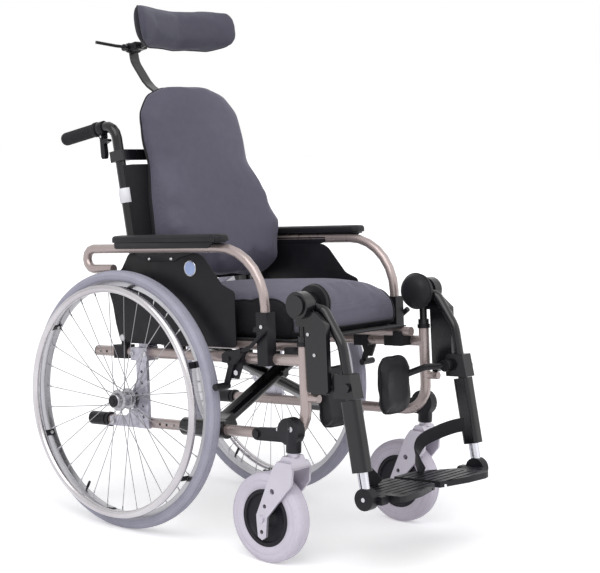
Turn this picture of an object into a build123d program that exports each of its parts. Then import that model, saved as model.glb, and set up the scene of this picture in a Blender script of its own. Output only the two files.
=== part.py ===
"""Folding wheelchair with a reclining back and elevating legrests.

Built in millimetres.  While the pieces are made, x is 0 at the rear axle and points forward, y is 0
at the middle and points to the sitter's left, and z is 0 at the floor.  The frame carries the seat
nose-up, so everything on it is drawn level and then tilted about the rear axle.  At the end the
whole chair moves back, which puts the origin on the floor under the middle of its length.
"""
import math
import os

from build123d import *

# ---------------------------------------------------------------- driving dimensions
WHEEL_R = 305.0          # 24 inch rear wheel with its tyre
WHEEL_Y = 267.0          # middle of the rear tyre
CASTER_R = 100.0         # 200 mm caster wheel
SEAT_TILT = 4.2          # the frame's nose-up angle, degrees
FRONT_REACH = 745.0      # rear axle to the front of the footplates

TUBE_R = 12.5            # side frame and back tubes
TUBE_WALL = 2.0
FRAME_Y = 222.0          # side frame tubes, from the middle
UPPER_Z = 413.0          # upper rail
LOWER_Z = 247.0          # lower rail
UPPER_REAR_X = -124.0
LOWER_REAR_X = -139.0
POST_X = 524.0           # front post
POST_TOP_Z = 444.0
FRONT_BEND_R = 60.0      # lower rail into the front post

SEAT_RAIL_R = 11.0
SEAT_RAIL_Y = 188.0
SEAT_RAIL_Z = 438.0
SEAT_RAIL_X = (62.0, 512.0)

BACK_LEAN = 8.8          # back tubes behind the frame's upright, degrees
BACK_PIVOT = (28.0, 440.0)
BACK_TUBE_Y = 205.0
BACK_TOP = 521.0         # pivot to the push grip's axis, along the tube

ARM_Y = 236.0            # armrest tube
ARM_TUBE_R = 11.0
ARM_TOP_Z = 659.0
ARM_HINGE = (-36.0, 446.0)
ARM_FRONT_X = 430.0

KNEE = (531.0, 534.0)    # where the legrest elevates
LEG_Y = 210.0            # leg tube, from the middle
ANKLE = (671.0, 124.0)   # footplate joint

CLEAR = 0.3              # gap between faces that slide past each other
RUN = 0.05               # radial gap of a shaft in its hole
ROOM = 0.5               # gap beside a lever or a wheel
CHORD_ERROR = 1.0        # how far a chord may stray from the bend it stands for
WHEEL_SIDES = 40
CASTER_SIDES = 24
HUB_SIDES = 16

# what the wheel, the reach and the tilt come to
AXLE_Z = WHEEL_R
X_SHIFT = (FRONT_REACH - WHEEL_R) / 2
TILT = Pos(0, 0, AXLE_Z) * Rot(0, -SEAT_TILT, 0) * Pos(0, 0, -AXLE_Z)
CENTRED = Pos(-X_SHIFT, 0, 0)
LEVEL = CENTRED * TILT
BACK = Pos(BACK_PIVOT[0], 0, BACK_PIVOT[1]) * Rot(0, -BACK_LEAN, 0)


# ---------------------------------------------------------------- small helpers
def sides(radius):
    """How many flats stand for a round piece that nothing turns on."""
    return 20 if radius > 20 else 12 if radius > 8 else 8


def box(x, y, z):
    """A block between two values on each axis."""
    return Pos(sum(x) / 2, sum(y) / 2, sum(z) / 2) * Box(
        abs(x[1] - x[0]), abs(y[1] - y[0]), abs(z[1] - z[0]))


def shaft(start, end, radius):
    """A truly round bar, for what turns, is turned on or is clamped."""
    along = Vector(*end) - Vector(*start)
    base = Plane(origin=start, z_dir=along)
    return base * Cylinder(radius, along.length, align=(Align.CENTER, Align.CENTER, Align.MIN))


def rod(start, end, radius):
    """A many-sided bar from one point to another."""
    along = Vector(*end) - Vector(*start)
    base = Plane(origin=start, z_dir=along)
    return extrude(base * RegularPolygon(radius, sides(radius)), amount=along.length)


def pin(x, z, y, radius):
    """A truly round bar across the chair, between two values of y."""
    return shaft((x, y[0], z), (x, y[1], z), radius)


def drum(x, z, y, radius):
    """A many-sided bar across the chair, between two values of y."""
    return rod((x, y[0], z), (x, y[1], z), radius)


def slab(outline, y):
    """A flat plate standing along the chair, from its outline in x and z."""
    points = [(x, y[0], z) for x, z in outline]
    return extrude(make_face(Polyline(*points, close=True)), amount=y[1] - y[0], dir=(0, 1, 0))


def sheet(outline, z):
    """A flat plate lying level, from its outline in x and y."""
    points = [(x, y, z[0]) for x, y in outline]
    return extrude(make_face(Polyline(*points, close=True)), amount=z[1] - z[0], dir=(0, 0, 1))


def hex_bolt(x, z, y, across=13.0):
    """A bolt's head standing on a plate, along y."""
    head = Plane(origin=(x, y[0], z), z_dir=(0, 1, 0)) * RegularPolygon(across / math.sqrt(3), 6)
    return extrude(head, amount=y[1] - y[0])


def facets(corners):
    """One flat face through four corners, or two where the corners aren't in one plane."""
    a, b, c, d = [Vector(*corner) for corner in corners]
    normal = (b - a).cross(c - a).normalized()
    if abs(normal.dot(d - a)) < 1e-6:
        return [make_face(Polyline(*corners, close=True)).face()]
    halves = (corners[0], corners[1], corners[2]), (corners[0], corners[2], corners[3])
    return [make_face(Polyline(*half, close=True)).face() for half in halves]


def skin(rings, closed=False):
    """A solid through rings of corners, with flat ends unless the last ring leads to the first."""
    pairs = list(zip(rings, rings[1:]))
    faces = []
    if closed:
        pairs.append((rings[-1], rings[0]))
    else:
        faces = [make_face(Polyline(*ring, close=True)).face() for ring in (rings[0], rings[-1])]
    for near, far in pairs:
        for k in range(len(near)):
            n = (k + 1) % len(near)
            faces += facets([near[k], near[n], far[n], far[k]])
    return Solid(Shell(faces))


def turned(profile, x, z, count):
    """A many-sided turned piece about an axis across the chair, from points of y and radius."""
    spun = []
    for y, r in profile:
        angles = [2 * math.pi * k / count for k in range(count)]
        spun.append([(x + r * math.cos(a), y, z + r * math.sin(a)) for a in angles])
    return spun


def hoop(profile, x, z, count):
    """A turned ring, from the closed outline of its section."""
    return skin(turned(profile, x, z, count), closed=True)


def route(points, radii):
    """The corners of straight runs joined by arcs, with each arc cut into short chords."""
    corners = [Vector(*p) for p in points]
    line = [corners[0]]
    for before, corner, after, radius in zip(corners, corners[1:], corners[2:], radii):
        u = (corner - before).normalized()
        v = (after - corner).normalized()
        turn = math.acos(u.dot(v))
        inward = (v - u * u.dot(v)).normalized()
        centre = corner - u * (radius * math.tan(turn / 2)) + inward * radius
        steps = math.ceil(turn / (2 * math.acos(1 - CHORD_ERROR / radius)))
        for k in range(steps + 1):
            at = turn * k / steps
            line.append(centre + u * (radius * math.sin(at)) - inward * (radius * math.cos(at)))
    return line + [corners[-1]]


def bent(points, radii, section, x_dir=None):
    """A section carried along straight runs joined by arcs, mitred where the chords meet."""
    line = route(points, radii)
    heads = [(b - a).normalized() for a, b in zip(line, line[1:])]
    base = Plane(origin=line[0], x_dir=x_dir, z_dir=heads[0]) if x_dir else Plane(origin=line[0], z_dir=heads[0])
    rings = [[line[0] + base.x_dir * u + base.y_dir * v for u, v in section]]
    for i, head in enumerate(heads):
        follow = heads[i + 1] if i + 1 < len(heads) else head
        mitre = (head + follow).normalized()
        rings.append([point + head * ((line[i + 1] - point).dot(mitre) / head.dot(mitre)) for point in rings[-1]])
    return skin([[tuple(point) for point in ring] for ring in rings])


def bent_bar(points, radii, radius):
    """A many-sided bar along straight runs joined by arcs."""
    count = sides(radius)
    angles = [2 * math.pi * k / count for k in range(count)]
    return bent(points, radii, [(radius * math.cos(a), radius * math.sin(a)) for a in angles])


def strap(points, radii, wide, thick, x_dir):
    """A flat bar along straight runs joined by arcs, with its width along x_dir at the start."""
    u, v = wide / 2, thick / 2
    return bent(points, radii, [(-u, -v), (u, -v), (u, v), (-u, v)], x_dir)


# ---------------------------------------------------------------- side frame
STUB_Z = 332.0                      # short lower bracket that the legrest hooks on
STUB_R = 9.0
STUB_REACH = 38.0
RAIL_HOLES = (-104.0, -84.0)        # spare adjustment holes in the upper rail
LOWER_HOLES = (86.0, 108.0, 132.0)
HOLE_R = 3.5
RAIL_END = 62.0                     # how much of the upper rail an accessory clamp can hold
BRACE_X = (158.0, 290.0)            # the brace's sleeve on the lower rail
BUSH_DEPTH = 26.0                   # how deep the legrest's bush sits in the post


def rails():
    """The upper and the lower rail as solid bars, the lower one with its bend and the post."""
    upper = rod((UPPER_REAR_X, FRAME_Y, UPPER_Z), (POST_X, FRAME_Y, UPPER_Z), TUBE_R)
    lower = bent_bar([(LOWER_REAR_X, FRAME_Y, LOWER_Z), (POST_X, FRAME_Y, LOWER_Z),
                      (POST_X, FRAME_Y, POST_TOP_Z)], [FRONT_BEND_R], TUBE_R)
    return upper, lower


def side_frame():
    """Two rails, the front post and its lower bend, as one bent and welded frame."""
    upper, lower = rails()
    rail_end = shaft((UPPER_REAR_X, FRAME_Y, UPPER_Z), (UPPER_REAR_X + RAIL_END, FRAME_Y, UPPER_Z), TUBE_R)
    journal = shaft((BRACE_X[0], FRAME_Y, LOWER_Z), (BRACE_X[1], FRAME_Y, LOWER_Z), TUBE_R)
    stub = rod((POST_X, FRAME_Y, STUB_Z), (POST_X + STUB_REACH, FRAME_Y, STUB_Z), STUB_R)
    frame = upper + lower + rail_end + journal + stub
    bore = TUBE_R - TUBE_WALL
    frame -= rod((UPPER_REAR_X, FRAME_Y, UPPER_Z), (POST_X - TUBE_R, FRAME_Y, UPPER_Z), bore)
    frame -= rod((LOWER_REAR_X, FRAME_Y, LOWER_Z), (POST_X - FRONT_BEND_R, FRAME_Y, LOWER_Z), bore)
    frame -= rod((POST_X, FRAME_Y, LOWER_Z + FRONT_BEND_R), (POST_X, FRAME_Y, POST_TOP_Z), bore)
    frame -= shaft((POST_X, FRAME_Y, POST_TOP_Z - BUSH_DEPTH - ROOM), (POST_X, FRAME_Y, POST_TOP_Z), bore)
    outer_half = (FRAME_Y, FRAME_Y + 2 * TUBE_R)
    for x in RAIL_HOLES:
        frame -= drum(x, UPPER_Z, outer_half, HOLE_R)
    for x in LOWER_HOLES:
        frame -= drum(x, LOWER_Z, outer_half, HOLE_R)
    return [frame]


# ---------------------------------------------------------------- axle carrier and recline bracket
CARRIER_X = (25.0, 59.0)
CARRIER_Y = (FRAME_Y + TUBE_R + 0.2, FRAME_Y + TUBE_R + 9.0)
CARRIER_HOLE_R = 4.0
CARRIER_PITCH = 25.0
CARRIER_LAP = 11.0                  # how far it covers each rail
FOOT_THICK = 5.0
HUB_INNER_Y = WHEEL_Y - 18.0        # where the hub's inner flange starts
AXLE_R = 6.0
AXLE_IN_Y = FRAME_Y - 16.0          # the axle's inner end
BOSS_R = 15.0
EAR = 3.4                           # thickness of the recline bracket's ears
EAR_R = 14.0
EAR_GAP = 0.5                       # between an ear and the back tube
BACK_PIN_R = 5.0


def axle_carrier():
    """The perforated upright that holds the rear axle, with the clamp that carries the back."""
    upper, lower = rails()
    low, high = LOWER_Z - CARRIER_LAP, UPPER_Z + CARRIER_LAP
    carrier = box(CARRIER_X, CARRIER_Y, (low, high))
    middle = sum(CARRIER_X) / 2
    count = int((high - low - CARRIER_PITCH) // CARRIER_PITCH)
    for i in range(count):
        z = low + (i + 1) * (high - low) / (count + 1)
        carrier -= drum(middle, z, (CARRIER_Y[0] - 1, CARRIER_Y[1] + 1), CARRIER_HOLE_R)
    foot_front = CARRIER_X[0] + 1
    carrier += slab([(-78, low), (-78, LOWER_Z + 11), (-22, LOWER_Z + 15), (foot_front, LOWER_Z + 52),
                     (foot_front, low)], (CARRIER_Y[0], CARRIER_Y[0] + FOOT_THICK))
    carrier += slab([(4, AXLE_Z + 13), (foot_front, AXLE_Z + 46), (foot_front, AXLE_Z - 44), (4, AXLE_Z - 13)],
                    (CARRIER_Y[0] + 1, CARRIER_Y[1]))
    carrier += drum(0, AXLE_Z, (AXLE_IN_Y, HUB_INNER_Y - 3), BOSS_R)
    carrier -= pin(0, AXLE_Z, (AXLE_IN_Y - 1, HUB_INNER_Y), AXLE_R + RUN)

    px, pz = BACK_PIVOT
    under = pz - TUBE_R - 1.5           # the clamp's top, just below the back tube's round end
    inner = BACK_TUBE_Y - TUBE_R - EAR_GAP
    outer = BACK_TUBE_Y + TUBE_R + EAR_GAP
    bracket = box((px - 20, px + 34), (FRAME_Y - 16, CARRIER_Y[1]), (UPPER_Z - 17, under))
    bracket += box((px - 16, px + 16), (inner - EAR, FRAME_Y - 14), (under - 10, under))
    for y in ((inner - EAR, inner), (outer, outer + EAR)):
        bracket += box((px - EAR_R, px + EAR_R), y, (under - 6, pz)) + drum(px, pz, y, EAR_R)
    bracket += pin(px, pz, (inner - EAR, outer + EAR), BACK_PIN_R)
    carrier = carrier + bracket - upper - lower
    bolts = [hex_bolt(x, UPPER_Z, (CARRIER_Y[1], CARRIER_Y[1] + 3.5), 11.0) for x in (px - 14, px + 28)]
    foot_face = CARRIER_Y[0] + FOOT_THICK
    bolts.append(hex_bolt(-66, LOWER_Z, (foot_face, foot_face + 4)))
    return [carrier] + bolts


# ---------------------------------------------------------------- fittings on the side frame
GRIP_PARTS = ((-156.0, -104.0, 16.5), (-104.0, -98.0, 14.5), (-98.0, -90.0, 18.0))
PLUG_LIP = 3.0
PLUG_DEPTH = 12.0
CRADLE_X = (110.0, 480.0)
CRADLE_HALF = 12.0
SOCKET_HALF = 15.0
SOCKET_TOP_Z = 517.0
SOCKET_FLOOR_Z = UPPER_Z + 30.0
LOCK_PIVOT = (340.0, 414.0)
LOCK_PLATE_Y = (FRAME_Y + 18.0, FRAME_Y + 24.0)
LOCK_PIN_R = 5.0
SADDLE_X = (-58.0, -14.0)
SADDLE_Z = (UPPER_Z - 15.0, UPPER_Z + 17.0)
SADDLE_HALF = 14.0
ARM_PIN_R = 5.0
GUARD_Y = (222.0, 225.0)            # the skirt guard's two faces
HINGE_BAR_Y = (218.0, GUARD_Y[0])   # the black bar that carries the armrest
HINGE_BAR_R = 13.0


def frame_fittings():
    """Plugs, tipping grip, seat rail cradles, armrest hinge and socket, and the lock's base."""
    upper, lower = rails()
    plug = rod((UPPER_REAR_X - PLUG_LIP, FRAME_Y, UPPER_Z), (UPPER_REAR_X, FRAME_Y, UPPER_Z), TUBE_R)
    plug += rod((UPPER_REAR_X - 1, FRAME_Y, UPPER_Z), (UPPER_REAR_X + PLUG_DEPTH, FRAME_Y, UPPER_Z),
                TUBE_R - TUBE_WALL - 0.1)
    grip = None
    for x0, x1, r in GRIP_PARTS:
        part = rod((x0, FRAME_Y, LOWER_Z), (x1, FRAME_Y, LOWER_Z), r)
        grip = grip + part if grip else part
    grip -= lower

    reach = SEAT_RAIL_R + CLEAR
    bed = shaft((0, SEAT_RAIL_Y, SEAT_RAIL_Z), (SEAT_RAIL_X[1], SEAT_RAIL_Y, SEAT_RAIL_Z), reach)
    bed += box((0, SEAT_RAIL_X[1]), (SEAT_RAIL_Y - reach, SEAT_RAIL_Y + reach), (SEAT_RAIL_Z, SEAT_RAIL_Z + 20))
    cradles = []
    for x in CRADLE_X:
        block = box((x - CRADLE_HALF, x + CRADLE_HALF), (SEAT_RAIL_Y - SEAT_RAIL_R - 4, FRAME_Y),
                    (UPPER_Z - 9, SEAT_RAIL_Z + 1))
        cradles.append(block - upper - bed)

    hx, hz = ARM_HINGE
    saddle = box(SADDLE_X, (FRAME_Y - SADDLE_HALF, FRAME_Y + SADDLE_HALF), SADDLE_Z)
    ear_y = (HINGE_BAR_Y[0] - ROOM - 4, HINGE_BAR_Y[0] - ROOM)
    saddle += box((hx - HINGE_BAR_R, hx + HINGE_BAR_R), ear_y, (UPPER_Z, hz)) + drum(hx, hz, ear_y, HINGE_BAR_R)
    saddle += pin(hx, hz, (ear_y[0], GUARD_Y[1] + 1), ARM_PIN_R)
    saddle -= upper

    sx = ARM_FRONT_X
    socket_x = (sx - SOCKET_HALF, sx + SOCKET_HALF)
    socket = box(socket_x, (ARM_Y - SOCKET_HALF, ARM_Y + SOCKET_HALF), (SADDLE_Z[1] - 1, SOCKET_TOP_Z))
    socket += box(socket_x, (FRAME_Y - SADDLE_HALF, ARM_Y + SOCKET_HALF), (UPPER_Z - 13, SADDLE_Z[1]))
    socket -= box((sx - ARM_TUBE_R - 1.5, sx + ARM_TUBE_R + CLEAR),
                  (ARM_Y - ARM_TUBE_R - CLEAR, ARM_Y + ARM_TUBE_R + CLEAR), (SOCKET_FLOOR_Z, SOCKET_TOP_Z + 1))
    socket -= upper
    catch = slab([(socket_x[0] - 18, 474), (socket_x[0] - 14, 484), (socket_x[0], 486), (socket_x[0], 472)],
                 (ARM_Y - 7, ARM_Y + 7))
    catch_screw = drum(sx, 486, (ARM_Y + SOCKET_HALF, ARM_Y + SOCKET_HALF + 2), 4.5)

    lx, lz = LOCK_PIVOT
    base = box((lx - 18, lx + 24), (FRAME_Y - SADDLE_HALF, LOCK_PLATE_Y[1]), SADDLE_Z)
    base += slab([(lx - 18, lz + 16), (lx - 20, lz - 14), (lx - 8, lz - 46), (lx + 10, lz - 46),
                  (lx + 24, lz - 14), (lx + 24, lz + 16)], LOCK_PLATE_Y)
    base -= upper
    base += pin(lx, lz, (LOCK_PLATE_Y[1] - 1, LOCK_PLATE_Y[1] + 21), LOCK_PIN_R)
    base_bolt = hex_bolt(lx + 8, lz - 32, (LOCK_PLATE_Y[1], LOCK_PLATE_Y[1] + 4), 11.0)
    return [plug, grip] + cradles + [saddle, socket, catch, catch_screw, base, base_bolt]


# ---------------------------------------------------------------- caster housing, fork and wheel
STEM_X = 508.0                      # the caster's upright turning axis
CASTER_Y = 244.0
TRAIL = 62.0
STEM_BORE_R = 8.0
STEM_COLLAR_R = 14.0
HOUSING_R = 17.0
HOUSING_Z = (253.0, 322.0)
HOUSING_CAP = 8.0
DISC = (500.0, 262.0, 30.0)         # angle adjusting disc, in the level frame
EYE = (400.0, 249.0, 14.0)
HOUSING_Y = (FRAME_Y + TUBE_R + 0.3, CASTER_Y + 17.0)
FORK_ARM = 6.0
CROWN = 26.0                        # from the fork's top down to the wheel's space
CASTER_HALF = 23.0
CASTER_GAP = 3.5
CASTER_AXLE_R = 5.0
CASTER_TREAD = 36.0                 # the tyre's depth, tread to hub
FORK_TOP_Z = 246.0


def caster_housing():
    """The cast arm, bolted to the lower rail and turned about its disc to stand the stem upright."""
    bow = bent_bar([(LOWER_REAR_X, FRAME_Y, LOWER_Z), (POST_X, FRAME_Y, LOWER_Z),
                    (POST_X, FRAME_Y, POST_TOP_Z)], [FRONT_BEND_R], TUBE_R + 0.2)
    dx, dz, dr = DISC
    ex, ez, er = EYE
    plate_y = (HOUSING_Y[0], HOUSING_Y[0] + 12)
    arm = slab([(ex, ez + er), (ex, ez - er), (dx, dz - dr + 4), (dx, dz + dr - 6),
                (ex + 52, ez + er + 2)], plate_y)
    arm += drum(ex, ez, plate_y, er) + drum(dx, dz, (HOUSING_Y[0], HOUSING_Y[1] - 3), dr)
    tower = rod((STEM_X, CASTER_Y, HOUSING_Z[0]), (STEM_X, CASTER_Y, HOUSING_Z[1]), HOUSING_R)
    bore = shaft((STEM_X, CASTER_Y, HOUSING_Z[0] - 50), (STEM_X, CASTER_Y, HOUSING_Z[1] - HOUSING_CAP),
                 STEM_BORE_R + RUN)
    body = TILT * arm + tower - TILT * bow - bore
    bolts = [TILT * hex_bolt(ex, ez, (plate_y[1], plate_y[1] + 5), 17.0),
             TILT * hex_bolt(dx - 34, dz + 2, (plate_y[1], plate_y[1] + 4), 10.0),
             TILT * drum(dx + 10, dz + 6, (HOUSING_Y[1] - 3, HOUSING_Y[1] - 0.5), 6.0)]
    return [body] + bolts


def caster_fork():
    """A wide crown, two slotted arms that sweep back to the axle, and the stem."""
    axle_x = STEM_X - TRAIL
    reach = CASTER_HALF + CASTER_GAP
    outer = reach + FORK_ARM
    stem = shaft((STEM_X, CASTER_Y, FORK_TOP_Z - 4), (STEM_X, CASTER_Y, HOUSING_Z[1] - HOUSING_CAP - 1),
                 STEM_BORE_R)
    stem += rod((STEM_X, CASTER_Y, FORK_TOP_Z - 2), (STEM_X, CASTER_Y, HOUSING_Z[0] - ROOM), STEM_COLLAR_R)
    profile = [(axle_x - 14, CASTER_R + 8), (axle_x - 13, CASTER_R - 6), (axle_x - 8, CASTER_R - 40),
               (axle_x + 4, CASTER_R - 46), (axle_x + 15, CASTER_R - 38), (axle_x + 17, CASTER_R + 6),
               (STEM_X + 22, 188), (STEM_X + 24, 222), (STEM_X + 8, FORK_TOP_Z), (STEM_X - 12, FORK_TOP_Z),
               (STEM_X - 34, 214)]
    fork = slab(profile, (CASTER_Y - outer, CASTER_Y + outer))
    whole = (STEM_X - 2 * CASTER_R, STEM_X + 2 * CASTER_R)
    fork -= box(whole, (CASTER_Y - reach, CASTER_Y + reach), (0, FORK_TOP_Z - CROWN))
    for side in (-1, 1):
        fork -= box(whole, (CASTER_Y + side * (outer - 9), CASTER_Y + side * 2 * outer),
                    (FORK_TOP_Z - 12, FORK_TOP_Z + 1))
    for x, z, r in ((axle_x + 2, CASTER_R - 28, 5.0), (axle_x + 9, CASTER_R + 30, 5.0),
                    (axle_x + 30, CASTER_R + 66, 6.5)):
        fork -= drum(x, z, (CASTER_Y - outer - 1, CASTER_Y + outer + 1), r)
    fork += stem + pin(axle_x, CASTER_R, (CASTER_Y - outer - 4, CASTER_Y + outer + 4), CASTER_AXLE_R)
    for side in (-1, 1):
        head = sorted((CASTER_Y + side * outer, CASTER_Y + side * (outer + 4.5)))
        fork += drum(axle_x, CASTER_R, head, 8.5)
    return [fork]


def caster_tyre():
    """A grooved solid tyre."""
    h, r = CASTER_HALF, CASTER_R
    seat = r - CASTER_TREAD
    profile = [(-h + 4, seat), (-h, seat + 10), (-h, r - 9), (-h + 7, r - 1), (-5, r), (0, r - 4), (5, r),
               (h - 7, r - 1), (h, r - 9), (h, seat + 10), (h - 4, seat)]
    return [hoop([(CASTER_Y + y, q) for y, q in profile], STEM_X - TRAIL, CASTER_R, CASTER_SIDES)]


def caster_hub():
    """The dished wheel centre, with its axle hole."""
    h, r = CASTER_HALF, CASTER_R - CASTER_TREAD
    profile = [(-h - 2, 14), (-8, 22), (-h + 5, r - 6), (-h + 5, r), (h - 5, r), (h - 5, r - 6), (8, 22),
               (h + 2, 14)]
    hub = skin(turned([(CASTER_Y + y, q) for y, q in profile], STEM_X - TRAIL, CASTER_R, CASTER_SIDES))
    hub -= pin(STEM_X - TRAIL, CASTER_R, (CASTER_Y - 2 * h, CASTER_Y + 2 * h), CASTER_AXLE_R + RUN)
    return [hub]


# ---------------------------------------------------------------- rear wheel
TYRE_HALF = 17.0
TYRE_DEPTH = 24.0
RIM_DEPTH = 13.0
RIM_HALF = 11.0
SPOKES = 32
SPOKE_R = 1.2
SPOKE_LEAD = 26.0                   # how far a spoke's foot is turned ahead of its head, degrees
FLANGE_R = 30.0
FLANGE_THICK = 3.0
HUB_R = 15.0
HUB_OUTER_Y = WHEEL_Y + 17.0
HUB_NOSE = 14.0
HANDRIM_Y = 307.0
HANDRIM_RING = 266.0
HANDRIM_R = 10.0
TABS = 6


def tyre():
    """The grey tyre, flat where it rolls."""
    r, seat, h = WHEEL_R, WHEEL_R - TYRE_DEPTH, TYRE_HALF
    profile = [(-h + 5, seat), (-h, seat + 8), (-h + 5, r - 5), (-4, r), (4, r), (h - 5, r - 5),
               (h, seat + 8), (h - 5, seat)]
    return [hoop([(WHEEL_Y + y, q) for y, q in profile], 0, AXLE_Z, WHEEL_SIDES)]


def spoked_rim():
    """Rim, crossed spokes and hub, laced into one wheel, and the axle that plugs into the frame."""
    top = WHEEL_R - TYRE_DEPTH
    inner, outer, low = HUB_INNER_Y, HUB_OUTER_Y, top - RIM_DEPTH
    wheel = hoop([(WHEEL_Y - RIM_HALF, top), (WHEEL_Y - RIM_HALF + 3, low), (WHEEL_Y + RIM_HALF - 3, low),
                  (WHEEL_Y + RIM_HALF, top)], 0, AXLE_Z, WHEEL_SIDES)
    hub = [(inner, FLANGE_R), (inner + FLANGE_THICK, FLANGE_R), (inner + FLANGE_THICK + 1, HUB_R),
           (outer - FLANGE_THICK - 1, HUB_R), (outer - FLANGE_THICK, FLANGE_R), (outer, FLANGE_R),
           (outer + 1, HUB_R + 3), (outer + HUB_NOSE, HUB_R + 2)]
    wheel += skin(turned(hub, 0, AXLE_Z, HUB_SIDES))
    for i in range(SPOKES):
        turn = 2 * math.pi * i / SPOKES
        lead = math.radians(SPOKE_LEAD) * (1 if i % 4 < 2 else -1)
        flange = inner + FLANGE_THICK / 2 if i % 2 == 0 else outer - FLANGE_THICK / 2
        foot, head = FLANGE_R - 4, low + 2
        start = Vector(foot * math.cos(turn + lead), flange, AXLE_Z + foot * math.sin(turn + lead))
        end = Vector(head * math.cos(turn), WHEEL_Y, AXLE_Z + head * math.sin(turn))
        base = Plane(origin=start, z_dir=end - start)
        wheel += extrude(base * RegularPolygon(SPOKE_R, 4), amount=(end - start).length)
    cap = drum(0, AXLE_Z, (outer + HUB_NOSE, outer + HUB_NOSE + 4), HUB_R - 2)
    axle = pin(0, AXLE_Z, (AXLE_IN_Y, inner), AXLE_R)
    return [wheel, cap, axle]


def handrim():
    """The push ring and the tabs that bolt it to the rim."""
    angles = [math.radians(36 + 60 * i) for i in range(6)]
    ring = hoop([(HANDRIM_Y + HANDRIM_R * math.cos(a), HANDRIM_RING + HANDRIM_R * math.sin(a)) for a in angles],
                0, AXLE_Z, WHEEL_SIDES)
    foot = AXLE_Z + (WHEEL_R - TYRE_DEPTH - RIM_DEPTH) * math.cos(math.pi / WHEEL_SIDES) - 0.1
    for i in range(TABS):
        tab = box((-9, 9), (WHEEL_Y + 2.5, HANDRIM_Y), (foot - 2.5, foot))
        ring += tab.rotate(Axis((0, 0, AXLE_Z), (0, 1, 0)), 360.0 * (i + 0.5) / TABS)
    return [ring]


# ---------------------------------------------------------------- wheel lock
SHOE = (318.0, 352.0)
SHOE_R = 8.0
LOCK_ARM = 6.0
LOCK_BODY = 10.0
HANDLE_TIP = (449.0, 482.0)
HANDLE_R = 4.5


def lock_shoe():
    """The arm that swings the knurled shoe into the tyre."""
    lx, lz = LOCK_PIVOT
    sx, sz = SHOE
    y = (LOCK_PLATE_Y[1] + ROOM, LOCK_PLATE_Y[1] + ROOM + LOCK_ARM)
    arm = slab([(lx - 10, lz + 4), (lx - 9, lz - 8), (sx - 6, sz + 2), (sx - 2, sz - 6), (sx + 7, sz - 1),
                (lx + 9, lz - 6), (lx + 10, lz + 4)], y)
    arm += drum(lx, lz, y, 11.0)
    arm -= pin(lx, lz, (y[0] - 1, y[1] + 1), LOCK_PIN_R + RUN)
    arm += drum(sx, sz, (WHEEL_Y - 24, WHEEL_Y + 20), SHOE_R)
    return [arm]


def lock_handle():
    """The black lock body and its hand lever."""
    lx, lz = LOCK_PIVOT
    tx, tz = HANDLE_TIP
    start = LOCK_PLATE_Y[1] + 2 * ROOM + LOCK_ARM
    y = (start, start + LOCK_BODY)
    middle = start + LOCK_BODY / 2
    body = slab([(lx - 20, lz - 8), (lx - 20, lz + 10), (lx - 8, lz + 17), (lx + 18, lz + 17),
                 (lx + 36, lz + 26), (lx + 36, lz + 12), (lx + 16, lz - 12)], y)
    body -= pin(lx, lz, (y[0] - 1, y[1] + 1), LOCK_PIN_R + RUN)
    body += bent_bar([(lx + 28, middle, lz + 16), (lx + 62, middle, lz + 28), (tx, middle, tz)], [20], HANDLE_R)
    body += rod((tx - 16, middle, tz - 11.5), (tx + 4, middle, tz + 3), 1.5 * HANDLE_R)
    return [body]


# ---------------------------------------------------------------- brace and seat rails
BRACE_ARM_X = {"rear": (177.0, 222.0), "front": (226.0, 271.0)}
BRACE_THICK = 24.0
BRACE_SLEEVE_R = 21.0
BRACE_ROOT = 34.0                   # length of the thicker root beside the sleeve
BRACE_BOLT_R = 6.0
BRACE_SPAN = (FRAME_Y + SEAT_RAIL_Y, SEAT_RAIL_Z - LOWER_Z)
BRACE_ANGLE = math.atan2(BRACE_SPAN[1], BRACE_SPAN[0])
BRACE_LENGTH = math.hypot(*BRACE_SPAN)
CROSS_Z = LOWER_Z + FRAME_Y * math.tan(BRACE_ANGLE)


def brace_arm(place, with_bolt):
    """One arm of the folding cross: a sleeve on the lower rail, up to the far seat rail."""
    x0, x1 = BRACE_ARM_X[place]
    middle = (x0 + x1) / 2
    low = Vector(middle, FRAME_Y, LOWER_Z)
    high = Vector(middle, -SEAT_RAIL_Y, SEAT_RAIL_Z)
    along = (high - low).normalized()
    inside = BRACE_THICK / 2
    start = Plane(origin=low + along * inside, x_dir=(1, 0, 0), z_dir=along)
    arm = extrude(start * SlotOverall(x1 - x0, BRACE_THICK), amount=BRACE_LENGTH - inside - 0.6 * SEAT_RAIL_R)
    arm += extrude(start * Rectangle(x1 - x0 + 12, BRACE_THICK + 8), amount=BRACE_ROOT)
    arm += rod((BRACE_X[0], FRAME_Y, LOWER_Z), (BRACE_X[1], FRAME_Y, LOWER_Z), BRACE_SLEEVE_R)
    arm -= shaft((BRACE_X[0] - 1, FRAME_Y, LOWER_Z), (BRACE_X[1] + 1, FRAME_Y, LOWER_Z), TUBE_R + RUN)
    arm -= shaft((x0 - 10, -SEAT_RAIL_Y, SEAT_RAIL_Z), (x1 + 10, -SEAT_RAIL_Y, SEAT_RAIL_Z), SEAT_RAIL_R)
    if not with_bolt:
        return [arm - shaft((x0 - 1, 0, CROSS_Z), (x1 + 1, 0, CROSS_Z), BRACE_BOLT_R + RUN)]
    rear = BRACE_ARM_X["rear"][0]
    arm += shaft((rear - 7, 0, CROSS_Z), (x1 + 3, 0, CROSS_Z), BRACE_BOLT_R)
    for x, r, thick in ((x1, 11.0, 8.0), (rear - 6, 10.0, 5.0)):
        arm += extrude(Plane(origin=(x, 0, CROSS_Z), z_dir=(1, 0, 0)) * RegularPolygon(r, 6), amount=thick)
    return [arm]


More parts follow.
